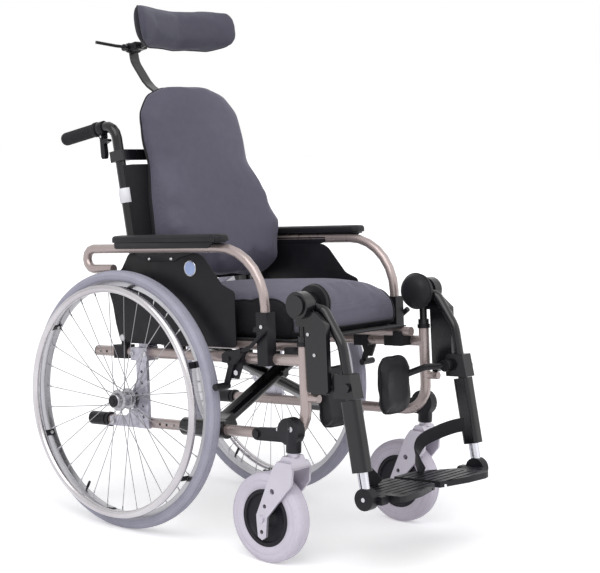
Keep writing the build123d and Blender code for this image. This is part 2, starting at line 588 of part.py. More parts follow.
def seat_rail():
    """The seat rail on top of a brace arm, plugged at both ends."""
    x0, x1 = SEAT_RAIL_X
    tube = shaft((x0, SEAT_RAIL_Y, SEAT_RAIL_Z), (x1, SEAT_RAIL_Y, SEAT_RAIL_Z), SEAT_RAIL_R)
    tube -= rod((x0 + PLUG_LIP, SEAT_RAIL_Y, SEAT_RAIL_Z), (x1 - PLUG_LIP, SEAT_RAIL_Y, SEAT_RAIL_Z),
                SEAT_RAIL_R - TUBE_WALL)
    return [tube]


# ---------------------------------------------------------------- seat
SLING = 3.0
CUSHION_HALF = 212.0
CUSHION_EDGE = 82.0                 # height at its sides
CUSHION_CROWN = 26.0                # how much higher its middle is
CUSHION_TUCK = 9.0                  # how far its flat bottom stops short of its sides
CUSHION_STATIONS = (                # place along the chair, height and width as shares of the fullest
    (66.0, 0.82, 0.955), (82.0, 0.97, 0.985), (216.0, 1.0, 1.0), (368.0, 1.02, 1.0),
    (444.0, 0.95, 0.995), (470.0, 0.70, 0.98), (478.0, 0.44, 0.955))


def arc_points(start, through, end, count):
    """Points spaced evenly along the arc from start to end, both ends with it."""
    arc = ThreePointArc(start, through, end)
    return [arc @ (k / count) for k in range(count + 1)]


def mirrored(half):
    """A closed outline from its right half, given from the bottom to the top."""
    return [tuple(p) for p in half] + [(p.X, -p.Y, p.Z) for p in reversed(half) if p.Y > 0.01]


def seat_cushion():
    """The crowned seat cushion on its sling, which hangs on the two seat rails."""
    base = SEAT_RAIL_Z + SEAT_RAIL_R + CLEAR
    hem = SEAT_RAIL_Y + 8
    sling = box((SEAT_RAIL_X[0] + 6, SEAT_RAIL_X[1] - 20), (-hem, hem), (base, base + SLING))
    floor = base + SLING + CLEAR
    rings = []
    for x, tall, wide in CUSHION_STATIONS:
        half, edge = CUSHION_HALF * wide, CUSHION_EDGE * tall
        crown, tuck = edge + CUSHION_CROWN * tall, half - CUSHION_TUCK
        side = arc_points((x, tuck, floor), (x, half, floor + edge / 2), (x, tuck, floor + edge), 4)
        top = arc_points((x, tuck, floor + edge), (x, 0, floor + crown), (x, -tuck, floor + edge), 8)
        rings.append(mirrored(side + top[1:5]))
    return [skin(rings), sling]


# ---------------------------------------------------------------- back
BACK_SHELL = 26.3                   # back cushion's rear face in front of the tube axis
BACK_STATIONS = (                   # height, half width, depth at the sides, depth in the middle
    (122.0, 168.0, 62.0, 80.0), (150.0, 190.0, 92.0, 104.0), (240.0, 200.0, 108.0, 96.0),
    (330.0, 192.0, 90.0, 86.0), (415.0, 176.0, 58.0, 82.0), (480.0, 180.0, 48.0, 78.0),
    (550.0, 172.0, 42.0, 68.0), (595.0, 138.0, 36.0, 58.0), (616.0, 84.0, 30.0, 44.0))
HANDLE_BEND_R = 34.0
GRIP_START, GRIP_END = 59.0, 178.0  # behind the tube
GRIP_TUBE_R = 16.0
GRIP_NOSE = 12.0                    # the grip's wider front ring
GRIP_CAP = 4.0
LEVER_N = -46.0                     # the brake lever, from the back tube's axis
LEVER_DROP = 21.0                   # the lever's pivot under the handle's axis
LEVER_PIN_R = 3.0
LEVER_HALF = 6.0
SLING_T = (130.0, 420.0)
SLING_THICK = 2.8
BAR_T = (430.0, 456.0)


def back_tube():
    """The back tube, hinged at its foot and bent into the push handle."""
    end = -GRIP_END + GRIP_CAP
    y = BACK_TUBE_Y
    tube = bent_bar([(0, y, 0), (0, y, BACK_TOP), (end, y, BACK_TOP)], [HANDLE_BEND_R], TUBE_R)
    tube -= bent_bar([(0, y, 2 * TUBE_R), (0, y, BACK_TOP), (end - 1, y, BACK_TOP)], [HANDLE_BEND_R],
                     TUBE_R - TUBE_WALL)
    tube += rod((0, y, -TUBE_R), (0, y, 0), TUBE_R) & drum(0, 0, (y - TUBE_R, y + TUBE_R), TUBE_R)
    tube -= pin(0, 0, (y - 2 * TUBE_R, y + 2 * TUBE_R), BACK_PIN_R + RUN)
    return [BACK * tube]


def push_grip():
    """The rubber grip on the handle, and the clamp that the brake lever hangs from."""
    def along(start, end, radius, make=rod):
        return make((start, BACK_TUBE_Y, BACK_TOP), (end, BACK_TUBE_Y, BACK_TOP), radius)

    grip = along(-GRIP_END - GRIP_CAP, -GRIP_START, GRIP_TUBE_R, shaft)
    grip += along(-GRIP_START - GRIP_NOSE, -GRIP_START, GRIP_TUBE_R + 2)
    grip -= along(-GRIP_END + GRIP_CAP, 0, TUBE_R)
    clamp = along(LEVER_N - 10, LEVER_N + 10, TUBE_R + 3.5)
    low, high = BACK_TOP - LEVER_DROP, BACK_TOP - TUBE_R
    cheek = LEVER_HALF + ROOM
    for side in (-1, 1):
        y = sorted((BACK_TUBE_Y + side * cheek, BACK_TUBE_Y + side * (cheek + 3)))
        clamp += box((LEVER_N - 6, LEVER_N + 6), y, (low, high)) + drum(LEVER_N, low, y, 6.0)
    clamp -= along(-2 * GRIP_END, 0, TUBE_R)
    slot = (low - 8, BACK_TOP - TUBE_R / 2)
    clamp -= box((LEVER_N - 11, LEVER_N + 11), (BACK_TUBE_Y - cheek, BACK_TUBE_Y + cheek), slot)
    clamp += pin(LEVER_N, low, (BACK_TUBE_Y - cheek - 4, BACK_TUBE_Y + cheek + 4), LEVER_PIN_R)
    return [BACK * grip, BACK * clamp]


def brake_lever():
    """The hand lever that hangs under the handle."""
    y = (BACK_TUBE_Y - LEVER_HALF, BACK_TUBE_Y + LEVER_HALF)
    low = BACK_TOP - LEVER_DROP
    outline = [(-7, 0), (-8, -13), (-12, -47), (-9, -53), (-1, -53), (3, -45), (4, -19), (20, -15), (20, -10),
               (7, -6), (7, 0)]
    blade = slab([(LEVER_N + n, low + t) for n, t in outline], y) + drum(LEVER_N, low, y, 7.0)
    blade -= pin(LEVER_N, low, (y[0] - 1, y[1] + 1), LEVER_PIN_R + RUN)
    return [BACK * blade]


def back_cushion():
    """The contoured back cushion, and the sling behind it that sleeves onto both back tubes."""
    n0 = BACK_SHELL
    rings = []
    for t, half, side, middle in BACK_STATIONS:
        rear = half - 14
        wing = arc_points((n0, rear, t), (n0 + side * 0.45, half, t), (n0 + side, half - 10, t), 4)
        front = arc_points((n0 + side, half - 10, t), (n0 + middle, 0, t), (n0 + side, 10 - half, t), 8)
        rings.append(mirrored(wing + front[1:5]))
    t0, t1 = SLING_T
    hem = BACK_TUBE_Y - TUBE_R
    face = (n0 - CLEAR - SLING_THICK, n0 - CLEAR)
    sling = box(face, (-hem - SLING_THICK, hem + SLING_THICK), (t0, t1))
    for side in (-1, 1):
        y = side * BACK_TUBE_Y
        sling += rod((0, y, t0), (0, y, t1), TUBE_R + 2)
        sling += box((6, face[1]), sorted((side * hem, side * (hem + 2 * SLING_THICK))), (t0, t1))
    for side in (-1, 1):
        y = side * BACK_TUBE_Y
        sling -= rod((0, y, t0 - 1), (0, y, t1 + 1), TUBE_R + CLEAR)
    return [BACK * skin(rings), BACK * sling]


# ---------------------------------------------------------------- headrest
STEM_N = (15.1, 20.5)
STEM_HALF = 14.0
STEM_SLIDE = 0.1                    # gap round the stem in its holder
HOLDER_HALF = 22.0
KNUCKLE = (-107.0, 742.0)
KNUCKLE_PIN_R = 5.0
KNUCKLE_REACH = 8.0                 # the pin's end beyond the stem's side
YOKE_HALF = 9.0
PAD_CENTRE = (34.0, 750.0)
PAD_WIDE, PAD_HIGH, PAD_DEEP = 163.0, 58.0, 30.0
PAD_STATIONS = (                    # place across, height, depth, and how far forward it curls
    (-1.0, 0.42, 0.45, 62.0), (-0.94, 0.8, 0.8, 54.0), (-0.66, 0.98, 1.0, 24.0), (0.0, 1.0, 1.0, 0.0),
    (0.66, 0.98, 1.0, 24.0), (0.94, 0.8, 0.8, 54.0), (1.0, 0.42, 0.45, 62.0))


def headrest_bar():
    """The flat cross bar, clamped to the right back tube and resting on the left one."""
    t0, t1 = BAR_T
    front = TUBE_R + 7
    bar = box((TUBE_R + 1, front), (-BACK_TUBE_Y, BACK_TUBE_Y + 8), (t0, t1))
    bar += box((TUBE_R + 0.4, TUBE_R + 10.4), (-HOLDER_HALF, HOLDER_HALF), (t0 - 8, t1 + 12))
    bar -= box((STEM_N[0] - STEM_SLIDE, STEM_N[1] + STEM_SLIDE), (-STEM_HALF - STEM_SLIDE, STEM_HALF + STEM_SLIDE),
               (t0 - 9, t1 + 13))
    bar += box((-TUBE_R - 5, front), (-BACK_TUBE_Y - TUBE_R - 3, -BACK_TUBE_Y + TUBE_R + 6), (t0, t1))
    bar -= rod((0, -BACK_TUBE_Y, t0 - 1), (0, -BACK_TUBE_Y, t1 + 1), TUBE_R)
    return [BACK * bar]


def headrest_stem():
    """The flat curved stem, with the knuckle that the pad nods on."""
    mid = sum(STEM_N) / 2
    kn, kt = KNUCKLE
    stem = strap([(mid, 0, 385), (mid, 0, 560), (-72, 0, 640), (kn, 0, kt - 36), (kn, 0, kt)], [38, 60, 40],
                 2 * STEM_HALF, STEM_N[1] - STEM_N[0], (0, 1, 0))
    stem += drum(kn, kt, (-STEM_HALF, STEM_HALF), 13.0)
    stem += pin(kn, kt, (-STEM_HALF - KNUCKLE_REACH, STEM_HALF + KNUCKLE_REACH), KNUCKLE_PIN_R)
    return [BACK * stem]


def headrest_pad():
    """The curved head pad, with the arm and fork that reach back to the knuckle."""
    cn, ct = PAD_CENTRE
    kn, kt = KNUCKLE
    rings = []
    for across, tall, thick, forward in PAD_STATIONS:
        ring = []
        for k in range(16):
            a = math.pi * k / 8
            swell = 1 / (abs(math.cos(a)) ** 2.6 + abs(math.sin(a)) ** 2.6) ** (1 / 2.6)
            ring.append((cn + forward + PAD_DEEP * thick * swell * math.cos(a), PAD_WIDE * across,
                         ct + PAD_HIGH * tall * swell * math.sin(a)))
        rings.append(ring)
    back = cn - PAD_DEEP
    arm = box((back - 8, back - 0.2), (-34, 34), (ct - 34, ct + 34))
    arm += rod((kn + 26, 0, kt), (back - 5, 0, ct), 8.5)
    reach = STEM_HALF + KNUCKLE_REACH - 1
    arm += box((kn + 17, kn + 32), (-reach, reach), (kt - YOKE_HALF, kt + YOKE_HALF))
    for side in (-1, 1):
        y = sorted((side * (STEM_HALF + ROOM), side * reach))
        arm += drum(kn, kt, y, 11.0) + box((kn, kn + 20), y, (kt - YOKE_HALF, kt + YOKE_HALF))
    arm -= pin(kn, kt, (-2 * reach, 2 * reach), KNUCKLE_PIN_R + RUN)
    return [BACK * skin(rings), BACK * arm]


def headrest_lever():
    """The clamp lever on the end of the knuckle's pin."""
    kn, kt = KNUCKLE
    root = -STEM_HALF - KNUCKLE_REACH - ROOM
    lever = drum(kn, kt, (root - 10, root), 9.0)
    lever += bent_bar([(kn, root - 5, kt + 2), (kn - 10, root - 26, kt + 6), (kn - 30, root - 74, kt + 18)], [18],
                      4.2)
    return [BACK * lever]


# ---------------------------------------------------------------- armrest
U_BEND = 24.0
ARM_REAR_X = -136.0
ARM_TAIL_X = -45.0                  # where the tube ends behind the guard
ARM_FALL_R = 130.0                  # the long curve down at the front
PAD_X = (-20.0, 328.0)
PAD_Y = (223.5, 270.0)
PAD_TALL = 20.0
PAD_CORNER = 16.0
PAD_LAYERS = ((0.0, 0.0), (13.0, 0.0), (18.0, 3.0), (20.0, 7.0))   # height, and how far it draws in
GUARD_LOW_Z = 434.0
CHANNEL_THICK = 2.5


def armrest_tube():
    """The bent armrest tube, from its plugged tail round the rear bend to the front leg."""
    low = ARM_TOP_Z - 2 * U_BEND
    radii = [U_BEND - 0.05, U_BEND - 0.05, ARM_FALL_R]
    tail, foot = (ARM_TAIL_X, ARM_Y, low), (ARM_FRONT_X, ARM_Y, SOCKET_FLOOR_Z + 2)
    bends = [(ARM_REAR_X, ARM_Y, low), (ARM_REAR_X, ARM_Y, ARM_TOP_Z), (ARM_FRONT_X, ARM_Y, ARM_TOP_Z)]
    tube = bent_bar([tail] + bends + [foot], radii, ARM_TUBE_R)
    inner = (ARM_TAIL_X - PLUG_LIP, ARM_Y, low)
    below = (foot[0], foot[1], foot[2] - 1)
    tube -= bent_bar([inner] + bends + [below], radii, ARM_TUBE_R - TUBE_WALL)
    return [tube]


def arm_pad():
    """The moulded pad on the armrest, with the channel under it that holds it to the tube."""
    base = ARM_TOP_Z + ARM_TUBE_R + CLEAR
    x0, x1 = PAD_X
    y0, y1 = PAD_Y
    rings = []
    for up, inset in PAD_LAYERS:
        r = PAD_CORNER - inset
        ring = []
        for i, (cx, cy) in enumerate(((x1, y1), (x0, y1), (x0, y0), (x1, y0))):
            middle = Vector(cx - math.copysign(PAD_CORNER, cx - sum(PAD_X) / 2),
                            cy - math.copysign(PAD_CORNER, cy - sum(PAD_Y) / 2))
            for k in range(4):
                a = math.pi / 2 * (i + k / 3)
                ring.append((middle.X + r * math.cos(a), middle.Y + r * math.sin(a), base + up))
        rings.append(ring)
    face = (GUARD_Y[1], GUARD_Y[1] + CHANNEL_THICK)
    channel = slab([(x0 + 30, base - 20), (x0 + 80, base - 42), (x0 + 170, base - 42), (x0 + 186, base - 34),
                    (x0 + 250, base - 20), (x0 + 250, base - 6), (x0 + 30, base - 6)], face)
    channel -= rod((x0, ARM_Y, ARM_TOP_Z), (x1, ARM_Y, ARM_TOP_Z), ARM_TUBE_R + 0.1)
    screws = [drum(x0 + dx, base - 36, (face[1], face[1] + 2), 4.0) for dx in (88, 160)]
    return [skin(rings), channel] + screws


def skirt_guard():
    """The side panel under the armrest, and the black bar at its rear that the armrest turns on."""
    hx, hz = ARM_HINGE
    top = ARM_TOP_Z - ARM_TUBE_R - 1
    panel = slab([(-40, GUARD_LOW_Z), (330, GUARD_LOW_Z), (330, 560), (292, 576), (232, top), (-4, top), (-30, 610),
                  (-62, 596), (-92, 597), (-66, 525), (-58, 480), (-46, 438)], GUARD_Y)
    r = HINGE_BAR_R
    bar = slab([(hx + r, hz), (hx - 14 + r, 600), (hx - 14 - r, 600), (hx - r, hz)], HINGE_BAR_Y)
    guard = panel + bar + drum(hx, hz, HINGE_BAR_Y, r)
    return [guard - pin(hx, hz, (HINGE_BAR_Y[0] - 1, GUARD_Y[1] + 1), ARM_PIN_R + RUN)]


# ---------------------------------------------------------------- legrest
COLLAR_R = 15.0
COLLAR_Z = (POST_TOP_Z + CLEAR, POST_TOP_Z + 9.0)
SWING_PIN_R = 8.0
SWING_PIN_DEPTH = 19.0
HANGER_TUBE_R = 9.0
KNEE_R = 30.0
KNEE_Y = (198.0, 250.0)
KNEE_PIN_R = 7.0
KNEE_WALL = 4.0                     # the drum's closed inner wall
HOUSING_START = LEG_Y + 14.0        # where the fixed knee housing begins
COVER_X = (543.0, 600.0)
COVER_Z = (344.0, 494.0)
COVER_Y = (HOUSING_START + 0.5, 238.0)
LEG_TUBE_R = 11.0
LEG_BEND = (621.0, 450.0)
SLEEVE_Z = (181.0, 332.0)
SLEEVE_HALF = (21.0, 15.0)
FOOT_TUBE_R = 11.5
LEG_SLOPE = (ANKLE[0] - LEG_BEND[0]) / (LEG_BEND[1] - ANKLE[1])
BLOCK_Z = (336.0, 388.0)
BLOCK_HALF = 17.0
CALF_PIVOT = (612.0, 362.0)
CALF_PIN_R = 6.0
CALF_PAD_Y = (48.0, 168.0)
CALF_PAD_Z = (250.0, 392.0)
CALF_PAD_X = 512.0
CALF_PAD_THICK = 18.0
CALF_CURVE = 240.0


def leg_point(z):
    """The point on the straight of the leg at this height."""
    return (LEG_BEND[0] + (LEG_BEND[1] - z) * LEG_SLOPE, LEG_Y, z)


def legrest_bush():
    """The plastic hinge bush that sits in the top of the front post."""
    bush = rod((POST_X, FRAME_Y, COLLAR_Z[0]), (POST_X, FRAME_Y, COLLAR_Z[1]), COLLAR_R)
    bush += shaft((POST_X, FRAME_Y, POST_TOP_Z - BUSH_DEPTH), (POST_X, FRAME_Y, COLLAR_Z[1] - 1),
                  TUBE_R - TUBE_WALL - RUN)
    bush -= shaft((POST_X, FRAME_Y, POST_TOP_Z - SWING_PIN_DEPTH - 1), (POST_X, FRAME_Y, COLLAR_Z[1] + 1),
                  SWING_PIN_R + RUN)
    return [bush]


def legrest_hanger():
    """The swing-away hanger: its pin, upright, knee housing and side cover."""
    kx, kz = KNEE
    rest = COLLAR_Z[1] + CLEAR
    hanger = shaft((POST_X, FRAME_Y, POST_TOP_Z - SWING_PIN_DEPTH), (POST_X, FRAME_Y, rest + 2), SWING_PIN_R)
    hanger += rod((POST_X, FRAME_Y, rest), (POST_X, FRAME_Y, kz - KNEE_R + 1), HANGER_TUBE_R)
    hanger += rod((POST_X, FRAME_Y, rest), (POST_X, FRAME_Y, rest + 12), COLLAR_R - 2)
    hanger += box((POST_X - 9, POST_X + 18), (COVER_Y[0], KNEE_Y[1] - 14), (kz - KNEE_R - 16, kz - 16))
    hanger += drum(kx, kz, (HOUSING_START, KNEE_Y[1]), KNEE_R)
    hanger += drum(kx, kz, (KNEE_Y[1] - 1, KNEE_Y[1] + 5), KNEE_R - 8)
    x0, x1 = COVER_X
    z0, z1 = COVER_Z
    hanger += slab([(x0, z0 + 4), (x0 - 2, z1), (x0 - 16, z1 + 26), (x1 - 30, z1 + 26), (x1, z1), (x1, z0 + 8),
                    (x1 - 8, z0)], COVER_Y)
    hanger += pin(kx, kz, (KNEE_Y[0] + KNEE_WALL + ROOM, HOUSING_START + 1), KNEE_PIN_R)
    hook_z = STUB_Z + STUB_R + 0.6
    hanger += slab([(x0 + 6, z0 + 6), (x0 + 6, hook_z), (x0 + 20, hook_z), (x0 + 26, z0 + 6)],
                   (FRAME_Y - 6, FRAME_Y + 8))
    screws = [drum(x, z, (COVER_Y[1], COVER_Y[1] + 2), 4.0) for x, z in ((x0 + 8, z1 - 22), (x0 + 24, z1 - 66))]
    return [hanger] + screws


def leg_tube():
    """The elevating leg: knee drum, bent tube, clamp block and the outer sleeve."""
    kx, kz = KNEE
    leg = drum(kx, kz, (KNEE_Y[0], HOUSING_START - ROOM), KNEE_R - 4)
    leg += bent_bar([(kx, LEG_Y, kz), (kx + 44, LEG_Y, kz - 12), (LEG_BEND[0], LEG_Y, LEG_BEND[1]),
                     leg_point(SLEEVE_Z[1] - 12)], [14, 60], LEG_TUBE_R)
    top, end = Vector(*leg_point(SLEEVE_Z[1])), Vector(*leg_point(SLEEVE_Z[0]))
    plane = Plane(origin=top, x_dir=(1, 0, LEG_SLOPE), z_dir=end - top)
    leg += extrude(plane * RectangleRounded(2 * SLEEVE_HALF[0], 2 * SLEEVE_HALF[1], 10), amount=(end - top).length)
    z0, z1 = BLOCK_Z
    leg += slab([(COVER_X[1] + 4, z0), (COVER_X[1] + 2, z1 - 12), (COVER_X[1] + 8, z1),
                 (leg_point(z1)[0] + 20, z1), (leg_point(z0)[0] + 22, z0)], (LEG_Y - BLOCK_HALF, LEG_Y + BLOCK_HALF))
    leg -= pin(kx, kz, (KNEE_Y[0] + KNEE_WALL, LEG_Y + 2 * BLOCK_HALF), KNEE_PIN_R + RUN)
    leg -= rod(leg_point(SLEEVE_Z[0] - 4), leg_point(SLEEVE_Z[1] - 14), FOOT_TUBE_R + RUN)
    cx, cz = CALF_PIVOT
    leg -= pin(cx, cz, (LEG_Y - BLOCK_HALF - 1, LEG_Y - 8), CALF_PIN_R + RUN)
    knob = drum(cx + 30, cz - 2, (LEG_Y + BLOCK_HALF, LEG_Y + BLOCK_HALF + 7), 10.0)
    return [leg, knob]


def calf_pad():
    """The curved calf pad on its swinging arm."""
    px, pz = CALF_PIVOT
    ym, zm = sum(CALF_PAD_Y) / 2, sum(CALF_PAD_Z) / 2
    wide, tall = CALF_PAD_Y[1] - CALF_PAD_Y[0], CALF_PAD_Z[1] - CALF_PAD_Z[0]
    half = CALF_PAD_THICK / 2
    centre = CALF_PAD_X + CALF_CURVE
    shell = shaft((centre, ym, CALF_PAD_Z[0]), (centre, ym, CALF_PAD_Z[1]), CALF_CURVE + half)
    shell -= shaft((centre, ym, CALF_PAD_Z[0] - 1), (centre, ym, CALF_PAD_Z[1] + 1), CALF_CURVE - half)
    face = Plane(origin=(CALF_PAD_X - 60, ym, zm), x_dir=(0, 1, 0), z_dir=(1, 0, 0))
    pad = shell & extrude(face * RectangleRounded(wide, tall, 38), amount=120)
    rear = CALF_PAD_X - half
    outer = LEG_Y - BLOCK_HALF - ROOM
    arm = bent_bar([(px, outer - 9, pz), (px - 50, outer - 22, pz - 4), (rear - 12, ym + 40, zm + 10),
                    (rear - 12, ym, zm + 10)], [30, 24], 8.0)
    arm += drum(px, pz, (outer - 18, outer), 14.0) + pin(px, pz, (outer - 10, LEG_Y - 9), CALF_PIN_R)
    arm += box((rear - 14, rear - 0.1), (ym - 26, ym + 26), (zm - 16, zm + 36)) - shell
    return [pad, arm]


DISC_R = 24.0
DISC_Y = (198.0, 221.0)
PLATE_HINGE = (184.0, 121.0)        # across and up, where the footplate folds
PLATE_Z = (114.0, 128.0)
HINGE_R = 5.0
KNUCKLE_R = 9.0
KNUCKLE_HALF = 19.5                 # half the footplate's own knuckle
EAR_X = (20.0, 34.0)                # the ears beside it, from the ankle
PLATE_FRONT_X = 733.0
RIBS = 7
CELL = (24.0, 28.0)                 # open cells under the footplate
CELL_STEP = (29.0, 33.0)


def foot_tube():
    """The sliding inner tube, with the drum that sets the footplate's angle."""
    ax, az = ANKLE
    hy, hz = PLATE_HINGE
    body = rod(leg_point(SLEEVE_Z[1] - 60), (ax, LEG_Y, az), FOOT_TUBE_R)
    body += drum(ax, az, DISC_Y, DISC_R)
    x0, x1 = EAR_X
    height = (hz - KNUCKLE_R, hz + KNUCKLE_R)
    body += box((ax - 17, ax + 17), (hy + KNUCKLE_R + ROOM, DISC_Y[0] + 2), height)
    body += box((ax - x1, ax + x1), (hy + 13, DISC_Y[0] + 4), height)
    for x in ((ax - x1, ax - x0), (ax + x0, ax + x1)):
        body += rod((x[0], hy, hz), (x[1], hy, hz), KNUCKLE_R)
        body += box(x, (hy, DISC_Y[0] + 4), height)
    body += shaft((ax - x1, hy, hz), (ax + x1, hy, hz), HINGE_R)
    return [body, drum(ax, az, (DISC_Y[1], DISC_Y[1] + 1.5), 5.0)]


def footplate():
    """The ribbed footplate, open-celled below, narrowed to its hinge knuckle."""
    ax = ANKLE[0]
    hy, hz = PLATE_HINGE
    z0, z1 = PLATE_Z
    edge = hy - 13
    plate = sheet([(ax - 17, edge), (586, 96), (580, 60), (580, 10), (706, 10), (728, 90), (PLATE_FRONT_X, 150),
                   (728, edge - 2), (ax + 30, edge)], (z0, z1))
    for i in range(RIBS):
        x = 596 + 19 * i
        plate -= box((x, x + 5), (0, edge - 22), (z1 - 2.5, z1 + 1))
    for i in range(4):
        for j in range(4):
            x, y = 600 + CELL_STEP[0] * i, 22 + CELL_STEP[1] * j
            if y < 90 or x > 590 + 0.62 * (y - 60):
                plate -= box((x, x + CELL[0]), (y, y + CELL[1]), (z0 - 1, z0 + 6))
    plate += rod((ax - KNUCKLE_HALF, hy, hz), (ax + KNUCKLE_HALF, hy, hz), KNUCKLE_R)
    plate += box((ax - KNUCKLE_HALF, ax + KNUCKLE_HALF), (edge - 10, hy), (hz - KNUCKLE_R, hz + KNUCKLE_R - 2))
    plate -= shaft((ax - 2 * KNUCKLE_HALF, hy, hz), (ax + 2 * KNUCKLE_HALF, hy, hz), HINGE_R + RUN)
    return [plate]


def heel_strap():
    """The heel loop: a wide band from the foot tube's collar down onto the footplate."""
    points = [(628, 186, 236), (596, 160, 226), (588, 120, 196), (606, 84, 160), (606, 84, PLATE_Z[1] + CLEAR)]
    return [strap(points, [26, 30, 16], 28, 4, (0, 0, 1))]


# ---------------------------------------------------------------- everything by name
def both(name, make, place):
    """A piece for the left side, and the same piece mirrored for the right."""
    left = [place * solid for solid in make()]
    right = [mirror(solid, about=Plane.XZ) for solid in left]
    return {f"{name}_left": left, f"{name}_right": right}


def all_nodes():
    """Every named node, with its solids where they stand on the chair."""
    nodes = {}
    for make in (side_frame, axle_carrier, frame_fittings, lock_shoe, lock_handle, seat_rail, armrest_tube,
                 arm_pad, skirt_guard, back_tube, push_grip, brake_lever, legrest_bush, legrest_hanger,
                 leg_tube, calf_pad, foot_tube, footplate, heel_strap):
        nodes.update(both(make.__name__, make, LEVEL))
    for make in (caster_housing, caster_fork, caster_tyre, caster_hub, tyre, spoked_rim, handrim):
        nodes.update(both(make.__name__, make, CENTRED))
    nodes["brace_arm_left"] = [LEVEL * s for s in brace_arm("rear", False)]
    nodes["brace_arm_right"] = [LEVEL * mirror(s, about=Plane.XZ) for s in brace_arm("front", True)]
    for make in (seat_cushion, back_cushion, headrest_bar, headrest_stem, headrest_pad, headrest_lever):
        nodes[make.__name__] = [LEVEL * solid for solid in make()]
    return nodes


def main():
    os.makedirs("parts", exist_ok=True)
    for name, shapes in sorted(all_nodes().items()):
        solids = [solid for shape in shapes for solid in shape.solids()]
        export_step(Compound(solids), f"parts/{name}.step")


if __name__ == "__main__":
    main()
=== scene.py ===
"""The looks of the folding recliner wheelchair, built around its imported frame.

Shapes are given in millimetres in one of three frames and placed by a matrix: LEVEL is the
frame drawn before its nose-up tilt, BACK is the reclining back (forward, across, up along the
tube), and FLAT is what stands upright on the floor.
"""
from math import cos, degrees, exp, pi, radians, sin, tan, tau

import bmesh
import bpy
import numpy as np
from mathutils import Matrix, Vector, kdtree


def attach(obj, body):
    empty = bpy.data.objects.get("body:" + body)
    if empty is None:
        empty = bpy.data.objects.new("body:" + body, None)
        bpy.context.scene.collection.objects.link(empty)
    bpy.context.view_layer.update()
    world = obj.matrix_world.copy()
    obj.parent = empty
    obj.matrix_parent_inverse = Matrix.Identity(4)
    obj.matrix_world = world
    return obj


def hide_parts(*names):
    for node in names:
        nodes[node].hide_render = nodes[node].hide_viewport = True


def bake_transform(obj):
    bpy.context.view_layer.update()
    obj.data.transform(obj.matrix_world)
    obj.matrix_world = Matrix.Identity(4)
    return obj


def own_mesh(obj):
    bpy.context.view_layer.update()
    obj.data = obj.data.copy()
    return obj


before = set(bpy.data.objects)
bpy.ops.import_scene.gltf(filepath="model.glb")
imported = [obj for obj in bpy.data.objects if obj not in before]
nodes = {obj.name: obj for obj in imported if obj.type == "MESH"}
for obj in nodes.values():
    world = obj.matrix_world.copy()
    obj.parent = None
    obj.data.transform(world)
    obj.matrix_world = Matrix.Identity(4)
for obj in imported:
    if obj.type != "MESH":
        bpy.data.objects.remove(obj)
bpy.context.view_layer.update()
scene = bpy.context.scene

# ---- frames
TILT, LEAN = radians(4.2), radians(8.8)
WHEEL_R = 305.0
SHIFT = 220.0  # rear axle to the middle of the chair
BACK_PIVOT = (28.0, 440.0)
MM = Matrix.Scale(0.001, 4)


def turned_about_y(angle, x, z):
    """The matrix that tips a piece nose-up by angle and carries its origin to x, z."""
    c, s = cos(angle), sin(angle)
    return Matrix(((c, 0, -s, x), (0, 1, 0, 0), (s, 0, c, z), (0, 0, 0, 1)))


FLAT = MM @ Matrix.Translation((-SHIFT, 0, 0))
LEVEL = MM @ turned_about_y(TILT, WHEEL_R * sin(TILT) - SHIFT, WHEEL_R * (1 - cos(TILT)))
BACK = LEVEL @ turned_about_y(LEAN, *BACK_PIVOT)
MIRROR = Matrix.Diagonal((1, -1, 1, 1))
SIDES = (("left", False), ("right", True))

# ---- camera
CAMERA_AT = (2.3851, -2.7365, 0.9595)
YAW, PITCH, ROLL = 2.268, -0.106, 0.018
FOCAL_SHARE = 1535.75 / 600  # focal length over the picture's width
SENSOR = 36.0


def make_camera():
    ahead = Vector((cos(PITCH) * cos(YAW), cos(PITCH) * sin(YAW), sin(PITCH)))
    right = ahead.cross(Vector((0, 0, 1))).normalized()
    up = right.cross(ahead)
    c, s = cos(ROLL), sin(ROLL)
    across, above = right * c + up * s, up * c - right * s
    data = bpy.data.cameras.new("photo_camera")
    data.sensor_fit = "HORIZONTAL"
    data.sensor_width = SENSOR
    data.lens = FOCAL_SHARE * SENSOR
    camera = bpy.data.objects.new("photo_camera", data)
    camera.matrix_world = Matrix.Translation(CAMERA_AT) @ Matrix((across, above, -ahead)).transposed().to_4x4()
    scene.collection.objects.link(camera)
    scene.camera = camera


make_camera()
scene.view_settings.view_transform = "Standard"


# ---- light and floor
def add_node(tree, kind, *sources, **settings):
    """A shader node fed by sources in turn, with its other sockets and its own settings given by name."""
    made = tree.nodes.new(kind)
    for source, target in zip(sources, made.inputs):
        tree.links.new(source, target)
    for key, value in settings.items():
        if key in made.inputs:
            made.inputs[key].default_value = value
        else:
            setattr(made, key, value)
    return made


def see_white(tree, plain, white):
    """What the camera, gloss and clear pieces see is white; the light that falls is plain."""
    path = add_node(tree, "ShaderNodeLightPath")
    most = path.outputs["Is Camera Ray"]
    for name in ("Is Glossy Ray", "Is Transmission Ray"):
        most = add_node(tree, "ShaderNodeMath", most, path.outputs[name], operation="MAXIMUM").outputs[0]
    return add_node(tree, "ShaderNodeMixShader", most, plain, white).outputs[0]


def circle(radius, count):
    return [(radius * cos(tau * k / count), radius * sin(tau * k / count)) for k in range(count)]


LAMPS = (("key", 1.55, 50, (-0.35, 0.75, -0.9)), ("fill", 0.55, 70, (-0.9, -0.35, -0.6)))
ROOM_LIGHT, FLOOR_GLOW = 0.52, 0.36
FLOOR_R, FLOOR_SIDES = 40, 64


